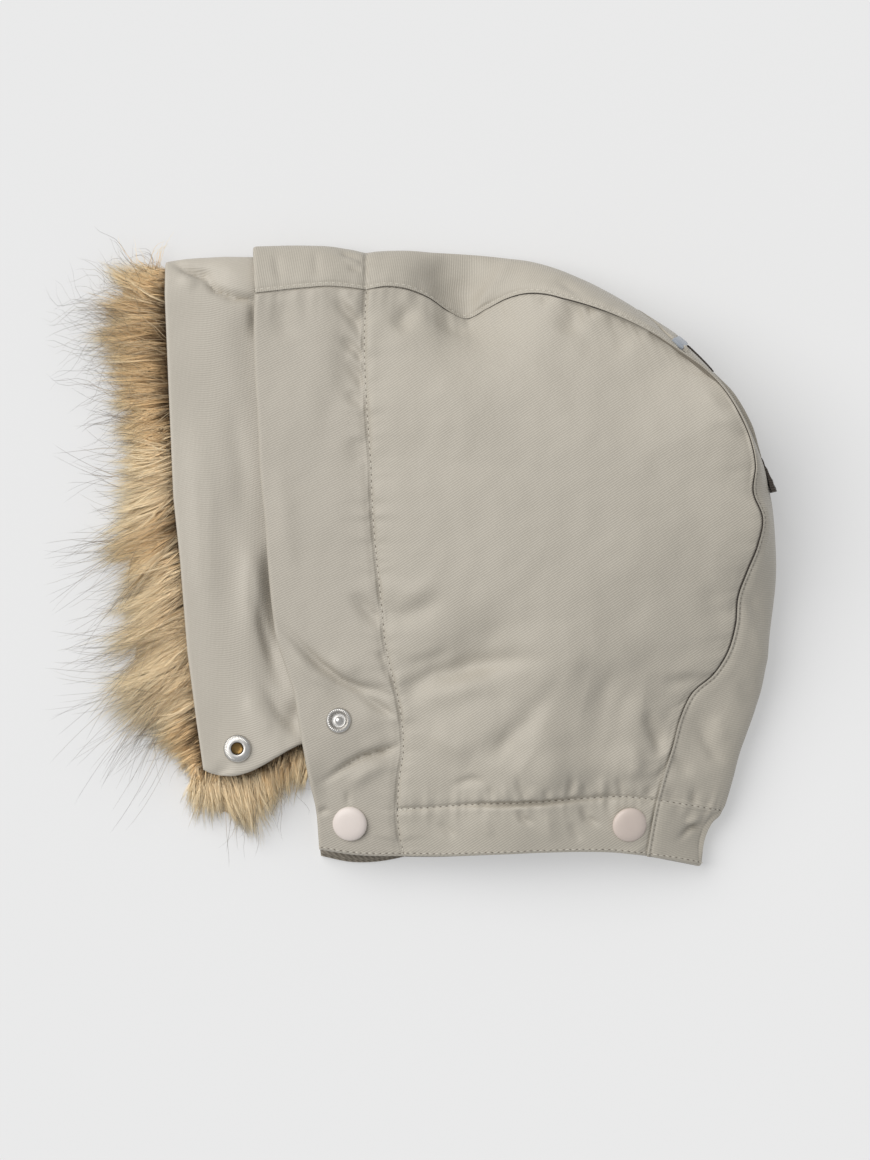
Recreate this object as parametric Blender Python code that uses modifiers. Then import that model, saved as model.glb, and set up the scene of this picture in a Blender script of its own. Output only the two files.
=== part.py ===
"""Padded winter hood with a fur trim, lying flat on its side.

Frame: x runs from the face opening (-) to the nape (+), y from the neck (-) to the crown (+),
z up from the surface the hood lies on. Tables are in millimetres; the meshes are in metres.
"""
import math
from collections import namedtuple

import bpy
from mathutils import Vector
from mathutils.bvhtree import BVHTree

MM = 0.001

# ---- driving dimensions, mm -------------------------------------------------------------
WALL = 3.6              # padded wall: shell cloth, wadding and lining together
EDGE_WALL = 2.4         # the same wall where it is turned in at the face and the neck
SEAM_GAP = 0.36         # pieces stay this far apart along a seam
SEAM_DIP = 1.0          # how deep stitching pulls the padding in
REST_GAP = 0.35         # between layers that lie on each other
EDGE_HEIGHT_SHARE = 0.45  # the crown is widest at this share of its seam's height
SHOULDER = 25.0         # degrees the crown already falls away at its upper seam
UNDER_INSET = 8.0       # least distance of the lower crown seam in from the outline
SIDE_DOME = 13.0        # how far the upper side panel bulges over its seams
UNDERSIDE_NORMAL = -0.3   # skin that faces down more than this rests flat and isn't pinched

MIDDLE = (1.56, 2.96, 0.0)   # the middle of the whole hood, which becomes the origin

BAND_WALL = 2.0         # cloth backing of the fur strip
BAND_TOP = 19.3         # top face of its upper run, just under the brim
BAND_MIDDLE = 9.8       # height where the strip turns over at the crown
BAND_UNDER = 3.95       # underside of its lower run inside the hood
BAND_FOLD_CENTRE = 107.0  # where the strip starts to turn over at the crown
BAND_FOLD_REACH = 21.3  # how far the fold stands past that
BAND_END_Y = -94.6      # the strip's end, which slants up towards the hood
BAND_END_RISE = 16.0
BAND_DROP_FROM = -71.5  # the lower run drops to the surface between these two x
BAND_DROP_TO = -88.0

PILE_HEIGHT = 17.0      # height of the fur where it springs from under the band
PILE_END_HEIGHT = 13.0  # the same below the end of the strip
TIP_HEIGHT = 1.6
NOTCH_REACH = 0.66      # between two tufts the pile reaches this share of their length
NOTCH_HEIGHT = 0.62     # and stands this much as high
PILE_SPLIT = 12.0       # the end's pile starts this far up inside the strip
PILE_CLEARANCE = 1.9    # between the pile and the cloth under it
PILE_INSIDE = 14.2      # top of the pile inside the strip, clear of the folds in its cloth
PILE_SEAT = 0.6         # the end's pile nearly fills the strip there

LINING_WALL = 1.2
LINING_DEPTH = 12.0     # how far the lining strip reaches up inside the neck
LINING_INSET = 0.6

CAP_DIAMETER = 15.0
CAP_HEIGHT = 2.4
STUD_DIAMETER = 11.0
STUD_HEIGHT = 2.7
SOCKET_DIAMETER = 12.0
SOCKET_HEIGHT = 1.9
UNDER_SNAP_HEIGHT = 1.5   # snap parts on the underside are pressed flush into the cloth
POCKET_CLEARANCE = 0.3

# Grid divisions: across the brim, along the crown, down the back, over the neck hem,
# and around the crown from its upper to its lower seam.
ACROSS_BRIM = 6
ALONG_CROWN = 16
DOWN_BACK = 18
OVER_HEM = 3
AROUND_CROWN = 10
RELAX_ROUNDS = 40
ROUND_STEPS = 24

# ---- tables, mm ------------------------------------------------------------------------
# The crown strip from the face to the neck: its upper seam, and its widest edge below it.
CrownRow = namedtuple("CrownRow", "x y z edge_x edge_y")
CROWN = [
    CrownRow(-69.7, 113.1, 23.5, -70.5, 132.9),
    CrownRow(-50.3, 115.2, 24.0, -50.3, 133.3),
    CrownRow(-35.3, 116.1, 24.5, -35.3, 132.7),
    CrownRow(-21.9, 114.8, 24.0, -21.9, 130.5),   # brim seam
    CrownRow(-9.5, 116.1, 24.0, -8.2, 131.2),
    CrownRow(5.6, 110.9, 20.0, 6.5, 130.3),
    CrownRow(20.6, 102.1, 15.0, 21.9, 129.4),     # the dent above the temple
    CrownRow(35.7, 109.7, 19.0, 35.7, 128.1),
    CrownRow(48.6, 113.1, 26.0, 50.7, 126.0),
    CrownRow(66.2, 109.7, 35.0, 70.1, 119.1),
    CrownRow(87.3, 102.3, 42.0, 91.6, 107.5),
    CrownRow(105.8, 92.5, 46.0, 110.0, 94.6),
    CrownRow(113.1, 87.4, 47.0, 115.7, 89.9),     # top corner of the side panel
    CrownRow(127.5, 76.3, 48.0, 128.2, 77.0),
    CrownRow(136.3, 64.5, 49.0, 137.0, 65.0),
    CrownRow(141.9, 52.9, 49.0, 143.0, 53.2),
    CrownRow(145.3, 40.6, 47.0, 148.4, 39.5),
    CrownRow(143.8, 30.3, 44.0, 151.2, 27.5),
    CrownRow(148.4, 15.5, 41.0, 153.1, 14.6),
    CrownRow(146.2, 4.3, 38.0, 153.9, 1.7),
    CrownRow(138.0, -17.2, 32.0, 153.3, -17.6),
    CrownRow(136.7, -30.5, 30.0, 151.4, -32.7),
    CrownRow(130.5, -47.3, 27.0, 148.8, -53.3),
    CrownRow(117.4, -60.2, 24.0, 143.2, -71.4),
    CrownRow(109.7, -82.6, 23.0, 138.0, -86.4),
    CrownRow(103.2, -104.7, 20.5, 131.2, -109.7),  # hem stitch
    CrownRow(100.6, -117.8, 19.0, 126.9, -118.7),
    CrownRow(98.8, -129.0, 16.5, 122.1, -133.3),
]
CROWN_BREAKS = [0, 3, 12, 25, 27]

Point = namedtuple("Point", "x y z")
# Seam between brim and side panel, from under the crown down to the neck.
BRIM_SEAM = [
    Point(-22.8, 92.9, 26.5),
    Point(-21.9, 67.1, 28.5),
    Point(-20.2, 42.1, 29.5),
    Point(-18.9, 14.6, 30.0),
    Point(-15.9, -15.9, 29.5),
    Point(-12.9, -42.6, 28.5),
    Point(-8.6, -59.8, 27.0),
    Point(-6.0, -80.8, 24.5),
    Point(-8.2, -98.9, 22.0),
    Point(-8.6, -108.6, 20.5),                    # hem stitch
    Point(-8.2, -117.0, 18.5),
    Point(-5.6, -129.2, 15.5),
]
BRIM_SEAM_BREAKS = [0, 10, 12]

# Front edge of the brim, around the face.
FRONT_EDGE = [
    Point(-70.1, 96.3, 24.0),
    Point(-69.7, 78.7, 24.2),
    Point(-68.4, 56.8, 24.4),
    Point(-67.5, 37.0, 24.4),
    Point(-65.4, 14.6, 24.4),
    Point(-63.2, -13.8, 24.4),
    Point(-59.8, -38.3, 24.2),
    Point(-53.3, -56.8, 24.0),
    Point(-50.3, -75.3, 24.0),
    Point(-46.0, -96.3, 22.0),
    Point(-43.6, -108.0, 18.5),
    Point(-42.1, -126.2, 14.5),
]
FRONT_EDGE_BREAKS = [0, 11, 12]

# Stitch line of the neck hem and the neck edge itself, between brim and crown.
HEM_STITCH = [
    Point(9.9, -107.5, 21.5),
    Point(24.5, -106.2, 22.5),
    Point(45.0, -105.3, 23.0),
    Point(70.0, -103.9, 22.5),
    Point(89.4, -103.2, 21.5),
]
NECK_EDGE = [
    Point(9.9, -129.3, 17.0),
    Point(35.7, -128.1, 18.5),
    Point(61.5, -127.1, 18.5),
    Point(85.0, -127.5, 17.5),
]
BRIM_NECK_EDGE = [
    Point(-28.0, -128.4, 15.0),
]
# The lower layer of the brim hangs a little lower at the neck and shows its lining there.
BRIM_NECK_EDGE_UNDER = [
    Point(-29.0, -131.4, 0.0),
    Point(-14.5, -131.0, 0.0),
]

# Large soft folds of the upper layer: a trough (-) or a ridge (+) along a line.
Fold = namedtuple("Fold", "x1 y1 x2 y2 width height")
FOLDS = [
    Fold(20.0, 124.0, 22.0, 104.0, 11.0, -3.0),     # dent of the crown above the temple
    Fold(14.0, 92.0, 40.0, 97.0, 10.0, -2.0),
    Fold(122.0, 66.0, 134.0, 42.0, 9.0, 2.0),       # sheen ridge at the back of the head
    Fold(30.0, -45.0, 70.0, -78.0, 14.0, -3.5),     # soft valley down to the hem
    Fold(-6.0, -62.0, 30.0, -38.0, 10.0, -2.0),
    Fold(100.0, -52.0, 116.0, -78.0, 9.0, -2.5),
    Fold(60.0, 108.0, 78.0, 92.0, 6.0, -1.6),
    Fold(-43.0, -52.0, -14.0, -66.0, 5.0, -1.8),    # drag lines of the brim
    Fold(-41.0, -96.0, -10.0, -83.0, 5.0, -1.8),
    Fold(-36.0, 60.0, -24.0, 100.0, 6.0, -1.4),
    Fold(120.0, -62.0, 134.0, -92.0, 6.0, -1.8),    # crown folds at the nape
    Fold(58.0, -92.0, 62.0, -99.0, 5.0, 1.2),
    Fold(84.0, -92.0, 86.0, -99.0, 5.0, 1.2),
]

# The strip that carries the fur: its free edge, from its end at the neck up to the crown.
BandRow = namedtuple("BandRow", "y free_x hidden_x")
BAND = [
    BandRow(-92.0, -91.6, -39.0),
    BandRow(-68.0, -95.0, -41.0),
    BandRow(-41.0, -98.5, -45.0),
    BandRow(-1.0, -101.7, -50.0),
    BandRow(25.0, -104.5, -51.0),
    BandRow(74.0, -106.6, -52.0),
    BandRow(112.0, -108.2, -52.0),
]
BAND_FOLDS = [
    Fold(-102.0, 127.0, -86.0, 120.0, 4.5, -1.6),   # pinch at the turn over the crown
    Fold(-72.0, 96.0, -60.0, -50.0, 7.0, -1.3),     # hollow beside the brim's edge
    Fold(-68.0, -22.0, -56.0, -64.0, 5.0, -1.0),
]
BAND_ROWS_RUN = 13
BAND_ROWS_FOLD = 10
BAND_COLUMNS = 7

# Tufts of the fur along the free edge: where each one starts, and its tip.
Tuft = namedtuple("Tuft", "root_x root_y tip_x tip_y")
TUFTS = [
    Tuft(-109.0, 122.0, -117.0, 139.0),
    Tuft(-109.2, 114.0, -136.0, 129.5),
    Tuft(-109.2, 101.0, -151.0, 103.0),
    Tuft(-108.6, 84.0, -148.0, 83.0),
    Tuft(-107.8, 67.0, -147.0, 67.0),
    Tuft(-106.8, 50.0, -144.0, 49.0),
    Tuft(-106.0, 33.0, -141.0, 32.0),
    Tuft(-105.0, 16.0, -151.0, 10.0),
    Tuft(-103.2, -2.0, -146.0, -10.0),
    Tuft(-101.6, -19.0, -149.5, -28.0),
    Tuft(-100.2, -36.0, -143.0, -46.0),
    Tuft(-98.6, -52.0, -146.0, -63.0),
    Tuft(-97.0, -65.0, -133.0, -79.0),
    Tuft(-95.8, -75.0, -126.0, -94.0),
    Tuft(-94.8, -84.0, -117.0, -103.0),
    Tuft(-94.2, -91.0, -107.0, -110.0),
]

# Tufts below the end of the strip.
END_TUFTS = [
    Tuft(-91.0, -96.2, -97.5, -113.5),
    Tuft(-84.0, -96.6, -90.0, -118.0),
    Tuft(-76.0, -96.4, -78.0, -125.0),
    Tuft(-67.0, -94.4, -67.0, -130.0),
    Tuft(-58.0, -89.0, -56.0, -122.0),
    Tuft(-50.5, -84.5, -48.5, -114.0),
]
# Stages of a tuft from the band to its tip: share of its length, and of the pile's height.
Stage = namedtuple("Stage", "along height")
PILE_STAGES = [
    Stage(0.00, 0.86),
    Stage(0.14, 1.00),
    Stage(0.40, 0.84),
    Stage(0.72, 0.45),
]

# Snap parts on the upper layer.
Snap = namedtuple("Snap", "x y")
CAP_FRONT = Snap(-28.8, -114.8)
CAP_BACK = Snap(91.2, -115.2)
STUD = Snap(-33.5, -70.5)
SOCKET = Snap(-77.0, -82.6)

# Pieces of the adjuster on the crown's midline: the crown stations they run between, how
# much of the crown's width they cover, how far they are lifted off it and their thickness.
StrapRow = namedtuple("StrapRow", "name first last top bottom lift thickness slot")
STRAP_PIECES = [
    StrapRow("strap_anchor", 19.2, 21.3, 0.20, 0.70, 0.4, 1.4, "shell"),
    StrapRow("reflective_tab", 21.35, 21.95, 0.04, 0.62, 0.4, 1.0, "reflective"),
    StrapRow("loop_tape", 22.05, 23.3, 0.30, 0.70, 0.4, 1.0, "tape"),
    StrapRow("adjuster_strap", 23.35, 26.6, 0.30, 0.70, 0.4, 1.4, "shell"),
    StrapRow("hook_tape", 26.65, 28.0, 0.30, 0.70, 0.4, 2.0, "tape"),
]
STRAP_STEP = 0.5           # stations between two rows of such a piece
STRAP_COLUMNS = 4

# Finish of each material: colour, roughness, metallic.
Finish = namedtuple("Finish", "color roughness metallic")
FINISHES = {
    "shell": Finish((0.50, 0.47, 0.41), 0.72, 0.0),
    "trim_cloth": Finish((0.56, 0.52, 0.46), 0.70, 0.0),
    "lining": Finish((0.10, 0.08, 0.07), 0.80, 0.0),
    "fur": Finish((0.55, 0.38, 0.22), 0.85, 0.0),
    "cap": Finish((0.66, 0.52, 0.47), 0.45, 0.0),
    "snap_metal": Finish((0.72, 0.72, 0.72), 0.30, 1.0),
    "tape": Finish((0.09, 0.07, 0.06), 0.85, 0.0),
    "reflective": Finish((0.62, 0.64, 0.67), 0.40, 0.3),
}


# ---- scene helpers ------------------------------------------------------------------------
def clear_scene():
    for item in list(bpy.data.objects):
        bpy.data.objects.remove(item, do_unlink=True)


def new_collection(name):
    collection = bpy.data.collections.new(name)
    bpy.context.scene.collection.children.link(collection)
    return collection


def finish_material(node, slot):
    """Each sub-part gets its own material with its slot's finish."""
    finish = FINISHES[slot]
    material = bpy.data.materials.new(node + "_" + slot)
    material.use_nodes = True
    shader = material.node_tree.nodes["Principled BSDF"]
    shader.inputs["Base Color"].default_value = (*finish.color, 1.0)
    shader.inputs["Roughness"].default_value = finish.roughness
    shader.inputs["Metallic"].default_value = finish.metallic
    return material


def add_object(name, mesh, slot, collection):
    item = bpy.data.objects.new(name, mesh)
    mesh.materials.append(finish_material(name, slot))
    collection.objects.link(item)
    return item


# ---- curves and patches ---------------------------------------------------------------------
def knots_of(rows):
    """Running chord length of a table, over its first three columns."""
    knots = [0.0]
    for one, two in zip(rows, rows[1:]):
        knots.append(knots[-1] + math.dist(one[:3], two[:3]))
    return knots


def slopes_of(rows, knots):
    """Slope of every column at every row, for a smooth curve through uneven rows."""
    last = len(rows) - 1
    slopes = []
    for i in range(len(rows)):
        before, after = max(i - 1, 0), min(i + 1, last)
        left, right = knots[i] - knots[before], knots[after] - knots[i]
        slope = []
        for column in range(len(rows[0])):
            low, here, high = (rows[j][column] for j in (before, i, after))
            if left == 0.0:
                slope.append((high - here) / right)
            elif right == 0.0:
                slope.append((here - low) / left)
            else:
                mean = (here - low) / left * right + (high - here) / right * left
                slope.append(mean / (left + right))
        slopes.append(slope)
    return slopes


def stations(rows, breaks, counts):
    """Evenly spaced readings of a smooth curve through rows, between its break rows."""
    knots = knots_of(rows)
    slopes = slopes_of(rows, knots)
    places = []
    for first, last, count in zip(breaks, breaks[1:], counts):
        step = (knots[last] - knots[first]) / count
        places += [knots[first] + step * k for k in range(count)]
    places.append(knots[breaks[-1]])
    readings = []
    for place in places:
        span = max(i for i in range(len(knots) - 1) if knots[i] <= place + 1e-9)
        length = knots[span + 1] - knots[span]
        t = min(1.0, (place - knots[span]) / length)
        a, b = 2 * t**3 - 3 * t**2 + 1, t**3 - 2 * t**2 + t
        c, d = 3 * t**2 - 2 * t**3, t**3 - t**2
        readings.append([
            a * p + b * length * m + c * q + d * length * n
            for p, m, q, n in zip(rows[span], slopes[span], rows[span + 1], slopes[span + 1])
        ])
    return readings


def coons(left, right, top, bottom):
    """Grid of points between four edge rows that share their corners."""
    rows, columns = len(left) - 1, len(top) - 1
    grid = []
    for i in range(rows + 1):
        v = i / rows
        line = []
        for j in range(columns + 1):
            u = j / columns
            ruled = (1 - v) * top[j] + v * bottom[j] + (1 - u) * left[i] + u * right[i]
            corners = (1 - v) * ((1 - u) * top[0] + u * top[-1])
            corners += v * ((1 - u) * bottom[0] + u * bottom[-1])
            line.append(ruled - corners)
        line[0], line[-1] = left[i].copy(), right[i].copy()
        grid.append(line)
    grid[0] = [point.copy() for point in top]
    grid[-1] = [point.copy() for point in bottom]
    return grid


def relaxed(grid):
    """Even out the inner points of a patch between its fixed edges."""
    for _ in range(RELAX_ROUNDS):
        smooth = [[point.copy() for point in line] for line in grid]
        for i in range(1, len(grid) - 1):
            for j in range(1, len(grid[0]) - 1):
                near = grid[i - 1][j] + grid[i + 1][j] + grid[i][j - 1] + grid[i][j + 1]
                smooth[i][j] = near / 4
        grid = smooth
    return grid


def vectors(readings):
    return [Vector(reading[:3]) for reading in readings]


def flattened(points):
    return [Vector((p.x, p.y, 0.0)) for p in points]


def fold_height(point):
    """Sum of the soft folds at a point of the upper layer."""
    total = 0.0
    for fold in FOLDS:
        start = Vector((fold.x1, fold.y1))
        along = Vector((fold.x2, fold.y2)) - start
        away = point.xy - start
        share = min(1.0, max(0.0, away.dot(along) / along.length_squared))
        distance = (away - along * share).length
        total += fold.height * math.exp(-((distance / fold.width) ** 2))
    return total


# ---- the hood's outer skin -------------------------------------------------------------------
def crown_section(row, inward):
    """Points around the crown from its upper seam over the outline to its lower seam."""
    seam = Vector(row[:3])
    edge = Vector((row[3], row[4], row[2] * EDGE_HEIGHT_SHARE))
    under_distance = math.hypot((seam.xy - edge.xy).length, UNDER_INSET)
    under = edge.xy + inward * under_distance
    start = math.radians(SHOULDER)
    half = AROUND_CROWN // 2
    points = []
    for k in range(AROUND_CROWN + 1):
        if k <= half:
            angle = start + (math.pi / 2 - start) * k / half
            spread = (1 - math.sin(angle)) / (1 - math.sin(start))
            rise = math.cos(angle) / math.cos(start)
            flat = edge.xy + (seam.xy - edge.xy) * spread
            height = edge.z + (seam.z - edge.z) * rise
        else:
            angle = math.pi / 2 * (k - half) / half
            flat = edge.xy + (under - edge.xy) * (1 - math.cos(angle))
            height = edge.z * (1 - math.sin(angle))
        points.append(Vector((flat.x, flat.y, height)))
    return points


def crown_grid():
    """One section of the crown at every station from the face to the neck."""
    counts = [ACROSS_BRIM, ALONG_CROWN, DOWN_BACK, OVER_HEM]
    readings = stations(CROWN, CROWN_BREAKS, counts)
    grid = []
    for i, row in enumerate(readings):
        before = readings[max(i - 1, 0)]
        after = readings[min(i + 1, len(readings) - 1)]
        run = Vector((after[3] - before[3], after[4] - before[4])).normalized()
        inward = Vector((run.y, -run.x))
        if i in (0, len(readings) - 1):
            inward = (Vector(row[:2]) - Vector(row[3:5])).normalized()
        grid.append(crown_section(row, inward))
    return grid


def upper_edges(crown):
    """Edge rows of the upper layer, which its neighbours share."""
    seam = [section[0] for section in crown]
    down = DOWN_BACK + OVER_HEM
    brim_top = seam[: ACROSS_BRIM + 1]
    side_top = seam[ACROSS_BRIM: ACROSS_BRIM + ALONG_CROWN + 1]
    side_back = seam[ACROSS_BRIM + ALONG_CROWN:]
    brim_rows = [Point(*side_top[0])] + BRIM_SEAM
    brim_seam = vectors(stations(brim_rows, BRIM_SEAM_BREAKS, [DOWN_BACK, OVER_HEM]))
    front_rows = [Point(*brim_top[0])] + FRONT_EDGE
    front = vectors(stations(front_rows, FRONT_EDGE_BREAKS, [DOWN_BACK, OVER_HEM]))
    stitch_rows = [brim_seam[DOWN_BACK]] + HEM_STITCH + [side_back[DOWN_BACK]]
    stitch = vectors(stations(stitch_rows, [0, len(stitch_rows) - 1], [ALONG_CROWN]))
    neck_rows = [brim_seam[down]] + NECK_EDGE + [side_back[down]]
    neck = vectors(stations(neck_rows, [0, len(neck_rows) - 1], [ALONG_CROWN]))
    brim_neck_rows = [front[down]] + BRIM_NECK_EDGE + [brim_seam[down]]
    brim_neck = vectors(stations(brim_neck_rows, [0, len(brim_neck_rows) - 1], [ACROSS_BRIM]))
    return {
        "brim_top": brim_top, "side_top": side_top, "side_back": side_back,
        "brim_seam": brim_seam, "front": front, "stitch": stitch,
        "neck": neck, "brim_neck": brim_neck,
    }


def side_grid(edges):
    """Side panel: the bulging field over the hem stitch, and the hem below it."""
    field = relaxed(coons(edges["brim_seam"][: DOWN_BACK + 1], edges["side_back"][: DOWN_BACK + 1],
                          edges["side_top"], edges["stitch"]))
    hem = coons(edges["brim_seam"][DOWN_BACK:], edges["side_back"][DOWN_BACK:],
                edges["stitch"], edges["neck"])
    return field + hem[1:]


def brim_grid(edges):
    return coons(edges["front"], edges["brim_seam"], edges["brim_top"], edges["brim_neck"])


def raise_side(grid):
    """Bulge the field of the upper side panel and lay its folds in."""
    for i in range(1, DOWN_BACK):
        down = math.sin(math.pi * i / DOWN_BACK)
        for j in range(1, ALONG_CROWN):
            across = math.sin(math.pi * j / ALONG_CROWN)
            grid[i][j].z += SIDE_DOME * (down * across) ** 0.75


def fold_inside(grid, skip_first_row=1):
    """Folds move every point that no other piece shares."""
    for row in grid[skip_first_row:-1]:
        for point in row[1:-1]:
            point.z += fold_height(point)


def lower_edges(edges, crown):
    """The same edges on the underside, flat on the surface."""
    low = {name: flattened(points) for name, points in edges.items()}
    seam = [section[-1] for section in crown]
    low["brim_top"] = seam[: ACROSS_BRIM + 1]
    low["side_top"] = seam[ACROSS_BRIM: ACROSS_BRIM + ALONG_CROWN + 1]
    low["side_back"] = seam[ACROSS_BRIM + ALONG_CROWN:]
    down = DOWN_BACK + OVER_HEM
    moved = {
        "brim_seam": (low["side_top"][0], None),
        "front": (low["brim_top"][0], None),
        "stitch": (None, low["side_back"][DOWN_BACK]),
        "neck": (None, low["side_back"][down]),
    }
    for name, (first, last) in moved.items():
        row = low[name]
        if first is not None:
            shift_row(row, first - row[0], from_start=True)
        if last is not None:
            shift_row(row, last - row[-1], from_start=False)
    neck_rows = [low["front"][down]] + BRIM_NECK_EDGE_UNDER + [low["brim_seam"][down]]
    low["brim_neck"] = vectors(stations(neck_rows, [0, len(neck_rows) - 1], [ACROSS_BRIM]))
    return low


def shift_row(row, shift, from_start):
    """Move one end of a row by a shift that fades out along it."""
    last = len(row) - 1
    for i, point in enumerate(row):
        share = (1 - i / last) if from_start else i / last
        row[i] = point + shift * share**3


# ---- walls ---------------------------------------------------------------------------------
def key_of(point):
    return tuple(round(value, 4) for value in point)


SkinPoint = namedtuple("SkinPoint", "normal miter")
MITER_LIMIT = 0.62


def skin_normals(grids):
    """Outward normal at each point, shared by the patches that meet there, and how much
    longer than the wall's thickness the way to its inner corner is."""
    shared = {}
    for grid, outward in grids:
        patch = {}
        for i in range(len(grid) - 1):
            for j in range(len(grid[0]) - 1):
                corners = [grid[i][j], grid[i][j + 1], grid[i + 1][j + 1], grid[i + 1][j]]
                normal = (corners[2] - corners[0]).cross(corners[3] - corners[1]) * outward
                for corner in corners:
                    total = patch.setdefault(key_of(corner), Vector())
                    total += normal
        for key, total in patch.items():
            shared.setdefault(key, []).append(total.normalized())
    skin = {}
    for key, normals in shared.items():
        mean = sum(normals, Vector()).normalized()
        lean = sum(mean.dot(normal) for normal in normals) / len(normals)
        skin[key] = SkinPoint(mean, 1 / max(lean, MITER_LIMIT))
    return skin


def pulled_back(grid, normals, seams):
    """Draw the rows along a seam back into their own piece by half the seam's gap."""
    rows, columns = len(grid) - 1, len(grid[0]) - 1
    moved = [[point.copy() for point in line] for line in grid]
    for i in range(rows + 1):
        for j in range(columns + 1):
            for side in seams:
                on_side = {"top": i == 0, "bottom": i == rows,
                           "left": j == 0, "right": j == columns}[side]
                if not on_side:
                    continue
                if side in ("top", "bottom"):
                    run = grid[i][min(j + 1, columns)] - grid[i][max(j - 1, 0)]
                else:
                    run = grid[min(i + 1, rows)][j] - grid[max(i - 1, 0)][j]
                inner_row, inner_column = min(max(i, 2), rows - 2), min(max(j, 2), columns - 2)
                inside = grid[inner_row][inner_column] - grid[i][j]
                pull = run.cross(normals[key_of(grid[i][j])].normal).normalized()
                if pull.dot(inside) < 0:
                    pull = -pull
                moved[i][j] += pull * SEAM_GAP / 2
    return moved


def seam_order(point):
    """Two pieces that share a seam split their side walls along the same diagonals."""
    return point.x - 1.7 * point.y


def closed_wall(name, outer, inner, slot, collection, outward=1):
    """Closed solid between an outer and an inner grid of points."""
    rows, columns = len(outer) - 1, len(outer[0]) - 1
    width = columns + 1
    count = (rows + 1) * width
    points = [point * MM for line in outer for point in line]
    points += [point * MM for line in inner for point in line]
    faces = []
    for i in range(rows):
        for j in range(columns):
            a, b = i * width + j, i * width + j + 1
            c, d = b + width, a + width
            faces.append((a, b, c, d))
            faces.append((d + count, c + count, b + count, a + count))
    rim = [j for j in range(columns)]
    rim += [i * width + columns for i in range(rows)]
    rim += [rows * width + j for j in range(columns, 0, -1)]
    rim += [i * width for i in range(rows, 0, -1)]
    for a, b in zip(rim, rim[1:] + rim[:1]):
        if seam_order(points[a]) < seam_order(points[b]):
            faces.append((b, a, b + count))
            faces.append((a, a + count, b + count))
        else:
            faces.append((b, a, a + count))
            faces.append((b, a + count, b + count))
    if outward < 0:
        faces = [tuple(reversed(face)) for face in faces]
    mesh = bpy.data.meshes.new(name)
    mesh.from_pydata(points, [], faces)
    mesh.validate()
    mesh.shade_smooth()
    mesh.set_sharp_from_angle(angle=math.radians(50))
    return add_object(name, mesh, slot, collection)


def padded_panel(name, grid, normals, seams, free, stitched_rows, outward, collection):
    """A padded cloth piece: its skin, pinched at seams, over a smooth inner side."""
    rows, columns = len(grid) - 1, len(grid[0]) - 1
    skin = pulled_back(grid, normals, seams)
    outer, inner = [], []
    for i in range(rows + 1):
        outer_line, inner_line = [], []
        for j in range(columns + 1):
            sides = {"top": i == 0, "bottom": i == rows, "left": j == 0, "right": j == columns}
            on_free = any(sides[side] for side in free)
            on_seam = any(sides[side] for side in seams) or i in stitched_rows
            normal, miter = normals[key_of(grid[i][j])]
            faces_down = normal.z < UNDERSIDE_NORMAL
            sink = SEAM_DIP if (on_free or on_seam) and not faces_down else 0.0
            wall = EDGE_WALL + sink if on_free else WALL * miter
            outer_line.append(skin[i][j] - normal * sink)
            inner_line.append(skin[i][j] - normal * wall)
        outer.append(outer_line)
        inner.append(inner_line)
    return closed_wall(name, outer, inner, "shell", collection, outward)


# ---- hood pieces ---------------------------------------------------------------------------
def build_hood(collection):
    crown = crown_grid()
    edges = upper_edges(crown)
    side, brim = side_grid(edges), brim_grid(edges)
    raise_side(side)
    fold_inside(side)
    fold_inside(brim)
    for section in crown[1:-1]:
        for point in section[1: AROUND_CROWN // 2]:
            point.z += fold_height(point)
    low = lower_edges(edges, crown)
    side_under, brim_under = side_grid(low), brim_grid(low)

    brim_crown, back_crown = crown[: ACROSS_BRIM + 1], crown[ACROSS_BRIM:]
    patches = [(side, -1), (brim, -1), (side_under, 1), (brim_under, 1), (crown, -1)]
    normals = skin_normals(patches)
    for point_row in side_under + brim_under:
        for point in point_row:
            normals[key_of(point)] = SkinPoint(Vector((0, 0, -1)), 1.0)

    panels = {}
    panels["side_upper"] = padded_panel(
        "side_upper", side, normals, ("top", "left", "right"), ("bottom",), (DOWN_BACK,), -1, collection)
    panels["brim_upper"] = padded_panel(
        "brim_upper", brim, normals, ("top", "right"), ("left", "bottom"), (), -1, collection)
    panels["side_lower"] = padded_panel(
        "side_lower", side_under, normals, ("top", "left", "right"), ("bottom",), (), 1, collection)
    panels["brim_lower"] = padded_panel(
        "brim_lower", brim_under, normals, ("top", "right"), ("left", "bottom"), (), 1, collection)
    panels["crown"] = padded_panel(
        "crown", back_crown, normals, ("left", "right", "top"), ("bottom",),
        (ALONG_CROWN + DOWN_BACK,), -1, collection)
    panels["brim_crown"] = padded_panel(
        "brim_crown", brim_crown, normals, ("left", "right", "bottom"), ("top",), (), -1, collection)
    return panels, crown, normals, brim_under


def build_hem_lining(brim_under, collection):
    """Strip of lining that shows inside the lower layer at the neck."""
    floor = WALL + REST_GAP
    edge = [point + Vector((0, LINING_INSET, floor)) for point in brim_under[-1][:-1]]
    top_row = [point + Vector((0, LINING_DEPTH, 0)) for point in edge]
    middle = [(low + high) / 2 for low, high in zip(edge, top_row)]
    under = [edge, middle, top_row]
    over = [[point + Vector((0, 0, LINING_WALL)) for point in row] for row in under]
    closed_wall("hem_lining", over, under, "lining", collection)


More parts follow.
